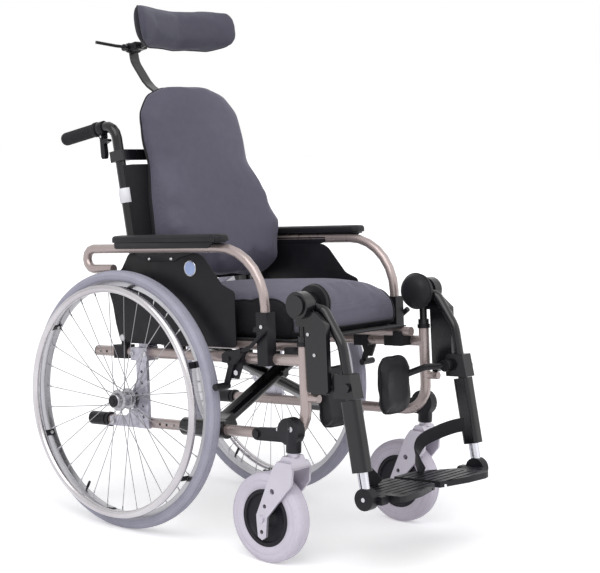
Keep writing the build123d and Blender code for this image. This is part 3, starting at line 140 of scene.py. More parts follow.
def make_studio():
    """White room, two soft suns, and a pale floor that keeps the shadow."""
    world = bpy.data.worlds.new("studio")
    scene.world = world
    world.use_nodes = True
    tree = world.node_tree
    plain = tree.nodes["Background"]
    plain.inputs["Color"].default_value = (0.96, 0.97, 1.0, 1)
    plain.inputs["Strength"].default_value = ROOM_LIGHT
    white = add_node(tree, "ShaderNodeBackground", Color=(1, 1, 1, 1))
    tree.links.new(see_white(tree, plain.outputs[0], white.outputs[0]), tree.nodes["World Output"].inputs[0])
    for name, strength, spread, aim in LAMPS:
        data = bpy.data.lights.new(name, "SUN")
        data.energy = strength
        data.angle = radians(spread)
        lamp = bpy.data.objects.new(name, data)
        lamp.rotation_mode = "QUATERNION"
        lamp.rotation_quaternion = Vector(aim).to_track_quat("-Z", "Y")
        scene.collection.objects.link(lamp)
    mesh = bpy.data.meshes.new("floor")
    mesh.from_pydata([(*p, 0) for p in circle(FLOOR_R, FLOOR_SIDES)], [], [list(range(FLOOR_SIDES))])
    floor = bpy.data.objects.new("floor", mesh)
    scene.collection.objects.link(floor)
    paint = bpy.data.materials.new("floor_paint")
    paint.use_nodes = True
    tree = paint.node_tree
    diffuse = add_node(tree, "ShaderNodeBsdfDiffuse", Color=(0.93, 0.925, 0.93, 1))
    glow = add_node(tree, "ShaderNodeEmission", Strength=FLOOR_GLOW)
    both = add_node(tree, "ShaderNodeAddShader", diffuse.outputs[0], glow.outputs[0])
    tree.links.new(see_white(tree, diffuse.outputs[0], both.outputs[0]), tree.nodes["Material Output"].inputs[0])
    mesh.materials.append(paint)


make_studio()


# ---- materials
def linear(*rgb):
    """A colour given as 0-255 screen values, as the shader takes it."""
    return tuple((v / 255 / 12.92 if v <= 10 else ((v / 255 + 0.055) / 1.055) ** 2.4) for v in rgb)


DARK_UNDER, DARK_GLOSS = 60, 0.22  # darker paints mirror less, as the room is white all round


class Finish:
    """A material with procedural variation: mottled colour, uneven gloss, and bumps."""

    def __init__(self, name, rgb, rough, metal=0.0, **sockets):
        self.material = bpy.data.materials.new(name)
        self.material.use_nodes = True
        self.tree = self.material.node_tree
        self.shader = self.tree.nodes["Principled BSDF"]
        self.colour = linear(*rgb)
        self.rough = rough
        sockets |= {"Base Color": (*self.colour, 1), "Roughness": rough, "Metallic": metal}
        if max(rgb) < DARK_UNDER:
            sockets["Specular IOR Level"] = DARK_GLOSS
        for key, value in sockets.items():
            self.shader.inputs[key.replace("_", " ")].default_value = value
        self.place = self.add("ShaderNodeTexCoord").outputs["Object"]
        self.bumps = None
        self.hue = None

    def add(self, kind, *sources, **settings):
        return add_node(self.tree, kind, *sources, **settings)

    def link(self, source, target):
        self.tree.links.new(source, target)

    def noise(self, scale, detail=3.0, stretch=None):
        place = self.place
        if stretch:
            place = self.add("ShaderNodeMapping", place, Scale=stretch).outputs[0]
        return self.add("ShaderNodeTexNoise", place, Scale=scale, Detail=detail).outputs["Fac"]

    def spread(self, source, low, high, start=0.35, end=0.65):
        ends = {"From Min": start, "From Max": end, "To Min": low, "To Max": high}
        return self.add("ShaderNodeMapRange", source, clamp=True, **ends).outputs[0]

    def tint(self, source, rgb, most=1.0):
        """Blends the colour so far towards rgb where source is high."""
        mix = self.add("ShaderNodeMix", self.spread(source, 0.0, most), data_type="RGBA")
        if self.hue is None:
            mix.inputs[6].default_value = (*self.colour, 1)
        else:
            self.link(self.hue, mix.inputs[6])
        mix.inputs[7].default_value = (*linear(*rgb), 1)
        self.hue = mix.outputs[2]
        self.link(self.hue, self.shader.inputs["Base Color"])
        return self

    def uneven(self, scale, by, stretch=None):
        """Gloss that varies by this much either way."""
        source = self.spread(self.noise(scale, 4.0, stretch), self.rough - by, self.rough + by, 0.3, 0.7)
        self.link(source, self.shader.inputs["Roughness"])
        return self

    def bump(self, source, height, strength=1.0):
        made = self.add("ShaderNodeBump", Strength=strength, Distance=height)
        self.link(source, made.inputs["Height"])
        if self.bumps is not None:
            self.link(self.bumps, made.inputs["Normal"])
        self.bumps = made.outputs[0]
        self.link(self.bumps, self.shader.inputs["Normal"])
        return self

    def bands(self, axis, period):
        """A smooth wave of that period in metres along an axis."""
        return self.add("ShaderNodeTexWave", self.place, wave_type="BANDS", bands_direction=axis, wave_profile="SIN",
                        Scale=tau / 20 / period).outputs["Fac"]

    def times(self, a, b):
        return self.add("ShaderNodeMath", a, b, operation="MULTIPLY").outputs[0]

    def cells(self, scale, feature="F1"):
        return self.add("ShaderNodeTexVoronoi", self.place, feature=feature, Scale=scale).outputs["Distance"]


def lacquer(name, rgb, dark, rough, metal, coat=0.3):
    f = Finish(name, rgb, rough, metal, Coat_Weight=coat, Coat_Roughness=0.18)
    return f.tint(f.noise(9.0), dark, 0.3).uneven(35.0, 0.05).bump(f.noise(300.0, 2.0), 0.00002, 0.2).material


def moulded(name, rgb, worn, rough, grain=1400.0, depth=0.00012):
    f = Finish(name, rgb, rough)
    f.tint(f.noise(14.0, 5.0), worn, 0.6).uneven(40.0, 0.07)
    return f.bump(f.cells(grain), depth, 0.6).material


BRUSHED = (1, 1, 40)  # how far the scratches are drawn out


def brushed(name, rgb, dark, rough):
    f = Finish(name, rgb, rough, 1.0)
    f.tint(f.noise(6.0, 4.0), dark, 0.5).uneven(120.0, 0.08, BRUSHED)
    return f.bump(f.noise(260.0, 2.0, BRUSHED), 0.00003, 0.5).material


def knit(name, rgb, light, rough, axes, period=0.0024, sheen=0.25):
    f = Finish(name, rgb, rough, Sheen_Weight=sheen, Sheen_Roughness=0.5, Sheen_Tint=(*linear(190, 190, 205), 1))
    weave = f.times(f.bands(axes[0], period), f.bands(axes[1], period))
    f.tint(f.noise(5.0, 4.0), light, 0.45).tint(weave, tuple(v * 0.72 for v in rgb), 0.35)
    f.uneven(60.0, 0.06)
    return f.bump(weave, 0.0004, 0.5).bump(f.noise(700.0, 3.0), 0.0002, 0.4).material


def galvanised(name):
    f = Finish(name, (184, 182, 192), 0.36, 0.9)
    return f.tint(f.cells(90.0), (150, 148, 160), 0.5).uneven(60.0, 0.08).bump(f.noise(300.0), 0.00005, 0.4).material


def rubber(name, rgb, worn, rough, depth=0.0003):
    f = Finish(name, rgb, rough)
    f.tint(f.noise(18.0, 6.0), worn, 0.6).tint(f.noise(420.0, 2.0), tuple(min(255, v + 26) for v in rgb), 0.35)
    return f.uneven(50.0, 0.08).bump(f.noise(800.0, 3.0), depth, 0.5).material


def webbing(name):
    f = Finish(name, (22, 22, 25), 0.75, Sheen_Weight=0.12)
    rows = f.bands("DIAGONAL", 0.002)
    return f.tint(rows, (38, 38, 43), 0.7).bump(rows, 0.0004, 0.7).uneven(50.0, 0.06).material


def vinyl(name, rgb=(22, 21, 25)):
    f = Finish(name, rgb, 0.46, Sheen_Weight=0.05)
    creases = f.cells(240.0, "DISTANCE_TO_EDGE")
    f.tint(f.noise(16.0, 4.0), (32, 31, 36), 0.6).bump(creases, 0.0003, 0.35)
    return f.bump(f.noise(90.0, 4.0), 0.0008, 0.3).uneven(30.0, 0.08).material


STEEL, PLASTIC, BLACK = "bright_steel", "black_plastic", "black_paint"
M = {
    "frame_paint": lacquer("champagne_lacquer", (172, 158, 155), (158, 143, 140), 0.3, 0.5),
    "zinc_steel": galvanised("galvanised_steel"),
    "bright_steel": brushed("bright_steel", (205, 205, 208), (150, 150, 154), 0.25),
    "black_fittings": moulded("fitting_plastic", (24, 23, 27), (38, 37, 42), 0.38),
    "cast_black": moulded("cast_powder_coat", (27, 26, 30), (44, 43, 48), 0.36, 900.0),
    "grey_tyre": rubber("grey_tyre_rubber", (152, 151, 166), (170, 169, 184), 0.62),
    "rim_alloy": brushed("rim_alloy", (188, 188, 192), (140, 138, 142), 0.3),
    "handrim_alloy": brushed("handrim_alloy", (206, 203, 206), (160, 155, 160), 0.24),
    "spoke_steel": brushed("spoke_steel", (182, 180, 184), (110, 108, 114), 0.3),
    "fork_silver": lacquer("fork_lacquer", (202, 197, 208), (176, 170, 181), 0.34, 0.5),
    "caster_rubber": rubber("caster_rubber", (196, 189, 202), (210, 203, 216), 0.6, 0.0002),
    "caster_plastic": moulded("caster_hub_plastic", (29, 27, 33), (46, 44, 51), 0.42),
    "black_plastic": moulded("black_nylon", (22, 21, 25), (36, 35, 40), 0.37),
    "black_foam": vinyl("foam_skin", (25, 24, 28)),
    "guard_plastic": moulded("guard_sheet", (20, 19, 23), (31, 30, 35), 0.4, 1800.0, 0.00008),
    "black_paint": lacquer("black_powder", (17, 16, 20), (30, 29, 34), 0.22, 0.0, 0.45),
    "grip_rubber": rubber("grip_rubber", (22, 22, 25), (36, 36, 40), 0.62),
    "black_vinyl": vinyl("black_vinyl"),
    "foot_alloy": brushed("foot_alloy", (214, 214, 222), (180, 180, 190), 0.26),
    "webbing": webbing("black_webbing"),
    "seat_fabric": knit("seat_knit", (90, 88, 101), (103, 101, 115), 0.74, "XY"),
    "back_fabric": knit("back_knit", (79, 76, 91), (91, 88, 104), 0.74, "YZ"),
    "head_fabric": knit("head_knit", (63, 62, 75), (75, 74, 88), 0.76, "YZ"),
    "side_fabric": knit("side_mesh", (20, 19, 23), (31, 30, 35), 0.8, "XZ", 0.003, 0.06),
    "head_rear": knit("head_mesh", (32, 31, 38), (46, 45, 54), 0.8, "XZ", 0.003, 0.08),
    "thread": webbing("seam_cord"),
    "white_band": moulded("white_band", (232, 232, 236), (214, 214, 220), 0.4),
    "badge": moulded("badge_face", (165, 183, 224), (142, 160, 210), 0.33),
}


# ---- mesh tools
def link(name, mesh):
    made = bpy.data.objects.new(name, mesh)
    scene.collection.objects.link(made)
    return made


def smooth_by_angle(mesh, limit):
    mesh.polygons.foreach_set("use_smooth", [True] * len(mesh.polygons))
    mesh.set_sharp_from_angle(angle=radians(limit))


def sided(place, flip):
    """The frame of the right side's pieces is the left one's, mirrored."""
    return place @ MIRROR if flip else place


def piece(name, parts, place, body, flip=False, replaces=(), limit=38):
    """One object from parts, each (points, faces, material), placed, and riding on its body if it has one."""
    points, faces, which, materials = [], [], [], []
    for part_points, part_faces, material in parts:
        if material not in materials:
            materials.append(material)
        base = len(points)
        points += [tuple(p) for p in part_points]
        faces += [[base + i for i in face] for face in part_faces]
        which += [materials.index(material)] * len(part_faces)
    mesh = bpy.data.meshes.new(name)
    mesh.from_pydata(points, [], faces)
    mesh.transform(sided(place, flip))
    for material in materials:
        mesh.materials.append(M[material])
    mesh.polygons.foreach_set("material_index", which)
    bm = bmesh.new()
    bm.from_mesh(mesh)
    bmesh.ops.recalc_face_normals(bm, faces=bm.faces)
    bm.to_mesh(mesh)
    bm.free()
    smooth_by_angle(mesh, limit)
    made = link(name, mesh)
    if body:
        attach(made, body)
    if replaces:
        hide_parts(*replaces)
    return made


def loft(rings, material, closed=False):
    """Quads between successive closed rings of points, with a flat cap at each open end."""
    count, size = len(rings), len(rings[0])
    faces = []
    for k in range(count if closed else count - 1):
        a, b = k * size, (k + 1) % count * size
        for i in range(size):
            j = (i + 1) % size
            faces.append([a + i, a + j, b + j, b + i])
    if not closed:
        faces.append(list(range(size))[::-1])
        faces.append([(count - 1) * size + i for i in range(size)])
    return [p for ring in rings for p in ring], faces, material


def spin(origin, axis, profile, material, count=48, closed=False):
    """A turned part: profile is (place along the axis, radius), round an axis through origin."""
    origin, axis = Vector(origin), Vector(axis).normalized()
    u = axis.orthogonal().normalized()
    v = axis.cross(u)
    rings = [[origin + axis * s + (u * cos(a) + v * sin(a)) * r
              for a in (tau * k / count for k in range(count))] for s, r in profile]
    return loft(rings, material, closed)


def across(profile, x, z, material, count=96, closed=False):
    """A turned part whose axis runs across the chair."""
    return spin((x, 0, z), (0, 1, 0), profile, material, count, closed)


def fillet(points, radii, step=6.0):
    """Straight runs joined by arcs, as points."""
    points = [Vector(p) for p in points]
    made = [points[0]]
    for before, corner, after, radius in zip(points, points[1:], points[2:], radii):
        a, b = (before - corner).normalized(), (after - corner).normalized()
        angle = a.angle(b)
        if radius <= 0 or angle > pi - 1e-3:
            made.append(corner)
            continue
        cut = radius / tan(angle / 2)
        centre = corner + (a + b).normalized() * (radius / sin(angle / 2))
        start, end = corner + a * cut - centre, corner + b * cut - centre
        turn = pi - angle
        count = max(2, round(degrees(turn) / step))
        axis = start.cross(end).normalized()
        made += [centre + Matrix.Rotation(turn * k / count, 3, axis) @ start for k in range(count + 1)]
    return made + [points[-1]]


def along(points, section, material, wide=None, closed=False):
    """A section, as (sideways, upwards) points, carried along a path; wide is its steady sideways direction."""
    points = [Vector(p) for p in points]
    count = len(points)
    rings, side = [], None
    for k, p in enumerate(points):
        before = points[k - 1] if k or closed else p
        after = points[(k + 1) % count] if k + 1 < count or closed else p
        t = (after - before).normalized()
        side = Vector(wide) if wide else side or t.orthogonal()
        side = (side - t * side.dot(t)).normalized()
        up = t.cross(side)
        rings.append([p + side * u + up * v for u, v in section])
    return loft(rings, material, closed)


def ring_profile(start, end, bore, radius, bevel, drop):
    """The profile of a turned ring whose outer edges are bevelled."""
    return [(start, bore), (start, radius - drop), (start + bevel, radius), (end - bevel, radius),
            (end, radius - drop), (end, bore)]


def rounded(wide, thick, radius, steps=3):
    """A rectangle's outline with rounded corners."""
    made = []
    for i, (su, sv) in enumerate(((1, 1), (-1, 1), (-1, -1), (1, -1))):
        for k in range(steps + 1):
            a = pi / 2 * (i + k / steps)
            made.append((su * (wide / 2 - radius) + radius * cos(a), sv * (thick / 2 - radius) + radius * sin(a)))
    return made


def catmull(points, per=6):
    """A smooth line through points."""
    points = [Vector(p) for p in points]
    n = len(points)
    made = []
    for i in range(n - 1):
        p0, p1, p2, p3 = (points[min(max(j, 0), n - 1)] for j in (i - 1, i, i + 1, i + 2))
        for k in range(per):
            t = k / per
            made.append(0.5 * (2 * p1 + (p2 - p0) * t + (2 * p0 - 5 * p1 + 4 * p2 - p3) * t * t
                               + (3 * p1 - p0 - 3 * p2 + p3) * t ** 3))
    return made + [points[-1]]


def inset(outline, by):
    """A closed outline in a plane, drawn in by a distance."""
    area = sum(a[0] * b[1] - b[0] * a[1] for a, b in zip(outline, outline[1:] + outline[:1]))
    sign = 1 if area > 0 else -1
    made = []
    for before, here, after in zip(outline[-1:] + outline[:-1], outline, outline[1:] + outline[:1]):
        a = (Vector(here) - Vector(before)).normalized()
        b = (Vector(after) - Vector(here)).normalized()
        normal = Vector((-a[1] - b[1], a[0] + b[0])).normalized()
        grow = max(0.4, normal.dot(Vector((-a[1], a[0]))))
        made.append(tuple(Vector(here) + normal * (sign * by / grow)))
    return made


def rounded_outline(corners, radii, step, at=(0, 0)):
    """A plate's outline in x and z from its corners, counted from a point, each rounded by its radius."""
    return [tuple(p[:2]) for p in fillet([(at[0] + x, at[1] + z, 0) for x, z in corners], radii, step)]


def plate(outline, y, edge, material):
    """A plate standing along the chair, from its outline in x and z, with rounded edges."""
    y0, y1 = y
    rings = []
    for place, by in ((y0, edge), (y0 + edge * 0.3, edge * 0.3), (y0 + edge, 0), (y1 - edge, 0),
                      (y1 - edge * 0.3, edge * 0.3), (y1, edge)):
        ring = inset(outline, by) if by else outline
        rings.append([(x, place, z) for x, z in ring])
    return loft(rings, material)


def block(x, y, z, edge, material):
    """A block between two values on each axis, with rounded edges."""
    bm = bmesh.new()
    bmesh.ops.create_cube(bm, size=1.0)
    for v in bm.verts:
        v.co = [lo + (hi - lo) * (c + 0.5) for c, (lo, hi) in zip(v.co, (x, y, z))]
    bmesh.ops.bevel(bm, geom=bm.edges[:], offset=edge, segments=2, profile=0.5, affect="EDGES")
    bm.verts.index_update()
    points = [tuple(v.co) for v in bm.verts]
    faces = [[v.index for v in f.verts] for f in bm.faces]
    bm.free()
    return points, faces, material


# ---- CAD nodes that stay
ROUNDED_UNDER = cos(radians(47.0))  # flats that meet at less than 47 degrees stand for a round face
FLAT_OVER = 0.9997  # triangles whose normals agree this far are one flat
SCREW_SIZE = 0.021
PER_METRE = 2e5  # points that share a cell of this grid are the same point
TINY = 1e-20


def coordinates(mesh, kind="co"):
    """The place of each point of a mesh, or its normal."""
    at = np.empty(len(mesh.vertices) * 3)
    mesh.vertices.foreach_get(kind, at)
    return at.reshape(-1, 3)


def welded(mesh):
    """A mesh's points, and for each the number of the place it shares with its doubles."""
    places = coordinates(mesh)
    _, same = np.unique(np.round(places * PER_METRE).astype(int), axis=0, return_inverse=True)
    return places, same.ravel()


def find(root, i):
    """The head of the group that i belongs to."""
    while root[i] != i:
        root[i] = root[root[i]]
        i = root[i]
    return i


def soften(made):
    """Shades the flats of many-sided bars as round, without moving a point."""
    mesh = made.data
    places, same = welded(mesh)
    loops = np.empty(len(mesh.loops), int)
    mesh.loops.foreach_get("vertex_index", loops)
    corners = same[loops].reshape(-1, 3)
    at = places[loops].reshape(-1, 3, 3)
    normals = np.cross(at[:, 1] - at[:, 0], at[:, 2] - at[:, 0])
    area = np.linalg.norm(normals, axis=1)
    normals = normals / np.maximum(area, TINY)[:, None]
    sides = [at[:, (i + 1) % 3] - at[:, i] for i in range(3)]
    sides = [s / np.maximum(np.linalg.norm(s, axis=1), TINY)[:, None] for s in sides]
    angles = np.stack([np.arccos(np.clip(-(sides[i] * sides[i - 1]).sum(1), -1, 1)) for i in range(3)], 1)
    root = list(range(len(corners)))
    edges = {}
    for t, tri in enumerate(corners):
        for i in range(3):
            key = tuple(sorted((tri[i], tri[(i + 1) % 3])))
            other = edges.setdefault(key, t)
            if other != t and normals[t] @ normals[other] > FLAT_OVER:
                root[find(root, t)] = find(root, other)
    group = np.array([find(root, i) for i in range(len(corners))])
    total = np.bincount(group, weights=area, minlength=len(corners))[group]
    around = {}
    for t, tri in enumerate(corners):
        for i in range(3):
            around.setdefault(tri[i], []).append((t, angles[t, i] * total[t]))
    made_normals = np.empty((len(corners), 3, 3))
    packed = {v: (np.array([t for t, _ in ring]), np.array([w for _, w in ring])) for v, ring in around.items()}
    for t, tri in enumerate(corners):
        for i in range(3):
            ring, weight = packed[tri[i]]
            near = normals[ring]
            keep = near @ normals[t] > ROUNDED_UNDER
            n = (near[keep] * weight[keep, None]).sum(0)
            size = np.linalg.norm(n)
            made_normals[t, i] = n / size if size > TINY else normals[t]
    mesh.polygons.foreach_set("use_smooth", [True] * len(mesh.polygons))
    mesh.normals_split_custom_set(made_normals.reshape(-1, 3).tolist())


def islands(node):
    """The closed shells of a CAD node, largest first, as lists of its faces."""
    mesh = nodes[node].data
    places, same = welded(mesh)
    root = list(range(same.max() + 1))
    for polygon in mesh.polygons:
        first, *rest = (same[v] for v in polygon.vertices)
        for v in rest:
            root[find(root, first)] = find(root, v)
    shells = {}
    for polygon in mesh.polygons:
        shells.setdefault(find(root, same[polygon.vertices[0]]), []).append(polygon.index)
    sized = []
    for faces in shells.values():
        at = places[[v for f in faces for v in mesh.polygons[f].vertices]]
        sized.append((float(np.linalg.norm(at.max(0) - at.min(0))), faces))
    sized.sort(key=lambda pair: -pair[0])
    return sized


def paint(node, material):
    """Gives a CAD node its finish, and its screws theirs."""
    mesh = nodes[node].data
    mesh.materials.clear()
    mesh.materials.append(M[material])
    mesh.materials.append(M[STEEL])
    for size, faces in islands(node):
        for f in faces:
            mesh.polygons[f].material_index = 1 if size < SCREW_SIZE else 0
    soften(nodes[node])


CAD_FINISH = {
    "frame_paint": ("side_frame", "seat_rail", "armrest_tube"),
    "black_fittings": ("frame_fittings", "lock_shoe", "lock_handle"),
    "zinc_steel": ("axle_carrier",), "cast_black": ("caster_housing",), "fork_silver": ("caster_fork",),
    "foot_alloy": ("foot_tube",), PLASTIC: ("brake_lever", "legrest_bush", "footplate"),
    BLACK: ("back_tube", "legrest_hanger", "leg_tube", "brace_arm"),
}
for finish, bases in CAD_FINISH.items():
    for base in bases:
        for side, _ in SIDES:
            paint(f"{base}_{side}", finish)
for node in ("headrest_bar", "headrest_stem", "headrest_lever"):
    paint(node, BLACK)

# the foot tube ends in a black knuckle
ANKLE_TOP, KNUCKLE = 150.0, 140.0  # a face whose middle or lowest point is under these is part of it
to_level = LEVEL.inverted()
for side, _ in SIDES:
    mesh = nodes[f"foot_tube_{side}"].data
    mesh.materials.append(M[PLASTIC])
    for polygon in mesh.polygons:
        low = min((to_level @ mesh.vertices[v].co).z for v in polygon.vertices)
        if polygon.material_index == 0 and ((to_level @ polygon.center).z < ANKLE_TOP or low < KNUCKLE):
            polygon.material_index = 2


# ---- wheels
TYRE_Y = 267.0
WHEEL_SIDES = 160  # flats round a large ring
HUB_Y = (249, 284)  # outer faces of the two flanges
SPOKES, SPOKE_LEAD = 32, radians(26)
SPOKE_FOOT, SPOKE_HEAD = 22, 269  # radii at the flange and in the rim
VALVE_AT = radians(-118)
HANDRIM_Y, HANDRIM_R, HANDRIM_TUBE = 307, 265, 9
TABS, TAB_LEAD = 6, 0.09
CASTER_X, CASTER_Y, CASTER_R = 446, 244, 100
TREAD_SEAT = 64.0  # radius where a caster's tyre sits on its hub


def both_ways(half, middle):
    """A profile given for one half, from its edge to the middle, and mirrored to the other."""
    return [(middle - y, r) for y, r in half] + [(middle + y, r) for y, r in reversed(half) if y > 0.01]


def on_wheel(r, a, y):
    return Vector((r * cos(a), y, WHEEL_R + r * sin(a)))


def make_wheel(side, flip):
    body = f"rear_wheel_{side}"
    half = [(12, 281), (14.5, 282.5), (16.4, 285.5), (17, 289), (16.9, 290.6), (16.3, 291), (16.3, 291.8),
            (16.6, 292.4), (15.9, 296), (14.2, 299.6), (13.4, 300.1), (13.2, 301.2), (10.6, 303.2), (9.6, 303.5),
            (9.2, 302.8), (8.2, 302.8), (7.8, 304), (2.4, 305), (1.9, 304.2), (0.9, 304.2), (0, 304.2)]
    profile = both_ways(half, TYRE_Y) + [(TYRE_Y + 11, 281), (TYRE_Y - 11, 281)]
    piece(f"tyre_{side}_round", [across(profile, 0, WHEEL_R, "grey_tyre", WHEEL_SIDES, True)], FLAT, body, flip,
          [f"tyre_{side}"])
    half = [(11, 283.5), (12, 282.5), (12, 280.5), (10.6, 278), (9.8, 271), (8, 268.4), (5, 267.8), (0, 267.6)]
    profile = both_ways(half, TYRE_Y) + [(TYRE_Y + 9, 282.5), (TYRE_Y - 9, 282.5)]
    parts = [across(profile, 0, WHEEL_R, "rim_alloy", WHEEL_SIDES, True)]
    inner, outer = HUB_Y
    flange = [(0, 23), (0.6, 25), (2.6, 25), (3.4, 23), (5, 17), (8, 15)]
    hub = [(inner, 8)] + [(inner + y, r) for y, r in flange] + [(outer - y, r) for y, r in flange[::-1]]
    hub += [(outer + 1.5, 18.5), (outer + 12.6, 17.4), (outer + 14, 16.2), (outer + 14, 8)]
    parts.append(across(hub, 0, WHEEL_R, "rim_alloy", 64))
    cap = [(outer + 12, 8), (outer + 12, 14.6), (outer + 15.6, 14.2), (outer + 17.6, 12.6), (outer + 18, 11),
           (outer + 16.6, 9.6), (outer + 16.2, 6.2), (outer + 17.6, 5.4), (outer + 17.9, 3)]
    parts.append(across(cap, 0, WHEEL_R, PLASTIC, 48))
    parts.append(across([(206.3, 5), (207, 6), (inner + 1, 6)], 0, WHEEL_R, STEEL, 24))
    for i in range(SPOKES):
        turn = tau * i / SPOKES
        lead = SPOKE_LEAD * (1 if i % 4 < 2 else -1)
        y = inner + 1.5 if i % 2 == 0 else outer - 1.5
        out = 2.4 if (i // 2) % 2 == 0 else -2.4
        foot, head = on_wheel(SPOKE_FOOT, turn + lead, y + out), on_wheel(SPOKE_HEAD, turn, TYRE_Y)
        ahead = (head - foot).normalized()
        parts.append(along([foot, head], circle(1, 6), "spoke_steel"))
        parts.append(along([head - ahead * 13, head], circle(1.9, 6), STEEL))
        parts.append(spin(foot - Vector((0, out, 0)), (0, out, 0), [(-2.2, 1.4), (2.6, 1.8), (3.2, 1)], STEEL, 6))
    foot, top = (on_wheel(r, VALVE_AT, TYRE_Y) for r in (269, 243))
    parts.append(spin(foot, top - foot, [(-2, 2.4), (8, 2.4), (8.5, 3.6), (24, 3.2), (26, 2.2)], PLASTIC, 12))
    piece(f"wheel_{side}_laced", parts, FLAT, body, flip, [f"spoked_rim_{side}"])
    ring = [(HANDRIM_Y + y, HANDRIM_R + r) for y, r in circle(HANDRIM_TUBE, 20)]
    parts = [across(ring, 0, WHEEL_R, "handrim_alloy", WHEEL_SIDES, True)]
    centre = Vector((0, 0, WHEEL_R))
    for i in range(TABS):
        a = tau * i / TABS + TAB_LEAD
        radial, tangent = Vector((sin(a), 0, cos(a))), Vector((cos(a), 0, -sin(a)))
        path = [centre + radial * r + Vector((0, y, 0))
                for y, r in ((271, 264.4), (285, 263.6), (294, 262.4), (300, 261.8))]
        parts.append(along(path, rounded(15, 3, 1.2), PLASTIC, tangent))
        parts.append(spin(centre + radial * 262.6 + Vector((0, 280, 0)), -radial, [(0, 4.4), (1.6, 4.2), (2.4, 2.6)],
                          STEEL, 12))
    piece(f"handrim_{side}_round", parts, FLAT, body, flip, [f"handrim_{side}"])


def make_caster(side, flip):
    tyre = [(19, TREAD_SEAT), (22, TREAD_SEAT + 5), (23, TREAD_SEAT + 12), (23, 80), (22.4, 81), (22.4, 82.4),
            (23, 83.4), (22.6, 88), (21, 92), (20.2, 92.4), (19.8, 94), (16.6, 97.4), (15.8, 97.4), (15.2, 98.4),
            (9, 99.8), (8.2, 99), (6.8, 99), (6, 100), (0, 100)]
    dish = [(25, 5.2), (25, 12.5), (23.6, 14), (12, 19), (9.5, 22), (8.6, 28), (9.4, 42), (12, 51), (15.5, 54),
            (18.6, 54.6), (19.6, 55.4), (19.6, 57.6), (18.8, 58.6), (17.8, 59.4), (17.8, 64.2), (0, 64.2)]
    for half, name, finish, node in ((tyre, f"caster_tyre_{side}_round", "caster_rubber", f"caster_tyre_{side}"),
                                     (dish, f"caster_hub_{side}_dished", "caster_plastic", f"caster_hub_{side}")):
        piece(name, [across(both_ways(half, CASTER_Y), CASTER_X, CASTER_R, finish, 96, True)], FLAT,
              f"caster_wheel_{side}", flip, [node])


for side, flip in SIDES:
    make_wheel(side, flip)
    make_caster(side, flip)


# ---- padded pieces
def mesh_of(made):
    """What an object's modifiers make of it, as a new mesh."""
    graph = bpy.context.evaluated_depsgraph_get()
    return bpy.data.meshes.new_from_object(made.evaluated_get(graph))


def settle(made):
    """Keeps what the modifiers give and drops them."""
    mesh = mesh_of(made)
    made.modifiers.clear()
    made.data = mesh


def shell(name, node, order=0):
    """A shell of a CAD node, welded, as an object of its own."""
    source = nodes[node].data
    _, faces = islands(node)[order]
    bm = bmesh.new()
    made = {}
    for f in faces:
        corners = []
        for v in source.polygons[f].vertices:
            key = tuple(round(c * PER_METRE) for c in source.vertices[v].co)
            if key not in made:
                made[key] = bm.verts.new(source.vertices[v].co)
            corners.append(made[key])
        if len(set(corners)) == len(corners):
            bm.faces.new(corners)
    bmesh.ops.recalc_face_normals(bm, faces=bm.faces)
    mesh = bpy.data.meshes.new(name)
    bm.to_mesh(mesh)
    bm.free()
    return link(name, mesh)


def put(mesh, at):
    mesh.vertices.foreach_set("co", at.astype(np.float32).ravel())
    mesh.update()


def relax(mesh, times, share=0.5):
    """Evens out a mesh by moving each point towards its neighbours' middle."""
    pairs = np.empty(len(mesh.edges) * 2, int)
    mesh.edges.foreach_get("vertices", pairs)
    a, b = pairs.reshape(-1, 2).T
    at = coordinates(mesh)
    count = np.bincount(a, minlength=len(at)) + np.bincount(b, minlength=len(at))
    for _ in range(times):
        total = np.zeros_like(at)
        np.add.at(total, a, at[b])
        np.add.at(total, b, at[a])
        at += (total / np.maximum(count, 1)[:, None] - at) * share
    put(mesh, at)


def grow(mesh, by):
    put(mesh, coordinates(mesh) + coordinates(mesh, "normal") * by)


SHRINK = -0.002  # metres, before the cover is blown up
PRESSURE, FRAMES = 4.0, 20


def stuff(made, voxel, cap, smooth):
    """Turns a shell into a filled cushion: even mesh, blown up as cloth, and held to a cap."""
    remesh = made.modifiers.new("even", "REMESH")
    remesh.mode = "VOXEL"
    remesh.voxel_size = voxel
    settle(made)
    relax(made.data, smooth)
    grow(made.data, SHRINK)
    start = coordinates(made.data)
    cloth = made.modifiers.new("fill", "CLOTH")
    cloth.settings.use_pressure = True
    cloth.settings.uniform_pressure_force = PRESSURE
    cloth.settings.effector_weights.gravity = 0
    cloth.settings.quality = 4
    cloth.point_cache.frame_start = 1
    cloth.point_cache.frame_end = FRAMES
    for k in range(1, FRAMES + 1):
        scene.frame_set(k)
    blown = coordinates(mesh_of(made))
    made.modifiers.clear()
    scene.frame_set(1)
    move = blown - start
    size = np.linalg.norm(move, axis=1)
    move *= (np.minimum(size, cap) / np.maximum(size, 1e-9))[:, None]
    put(made.data, start + move)
    relax(made.data, 3)
    finer = made.modifiers.new("finer", "SUBSURF")
    finer.levels = 1
    settle(made)
    return made


def hold(made, place, rule):
    """Keeps points inside what the piece rests on; rule changes an array in the local frame."""
    back = np.array(place.inverted())
    there = np.array(place)
    at = coordinates(made.data)
    local = at @ back[:3, :3].T + back[:3, 3]
    rule(local)
    put(made.data, local @ there[:3, :3].T + there[:3, 3])


NEAR_SEAM = 1e-3  # a point this near the seam counts as just inside it
SHORTEST_SEAM = 40  # points; shorter lines are specks


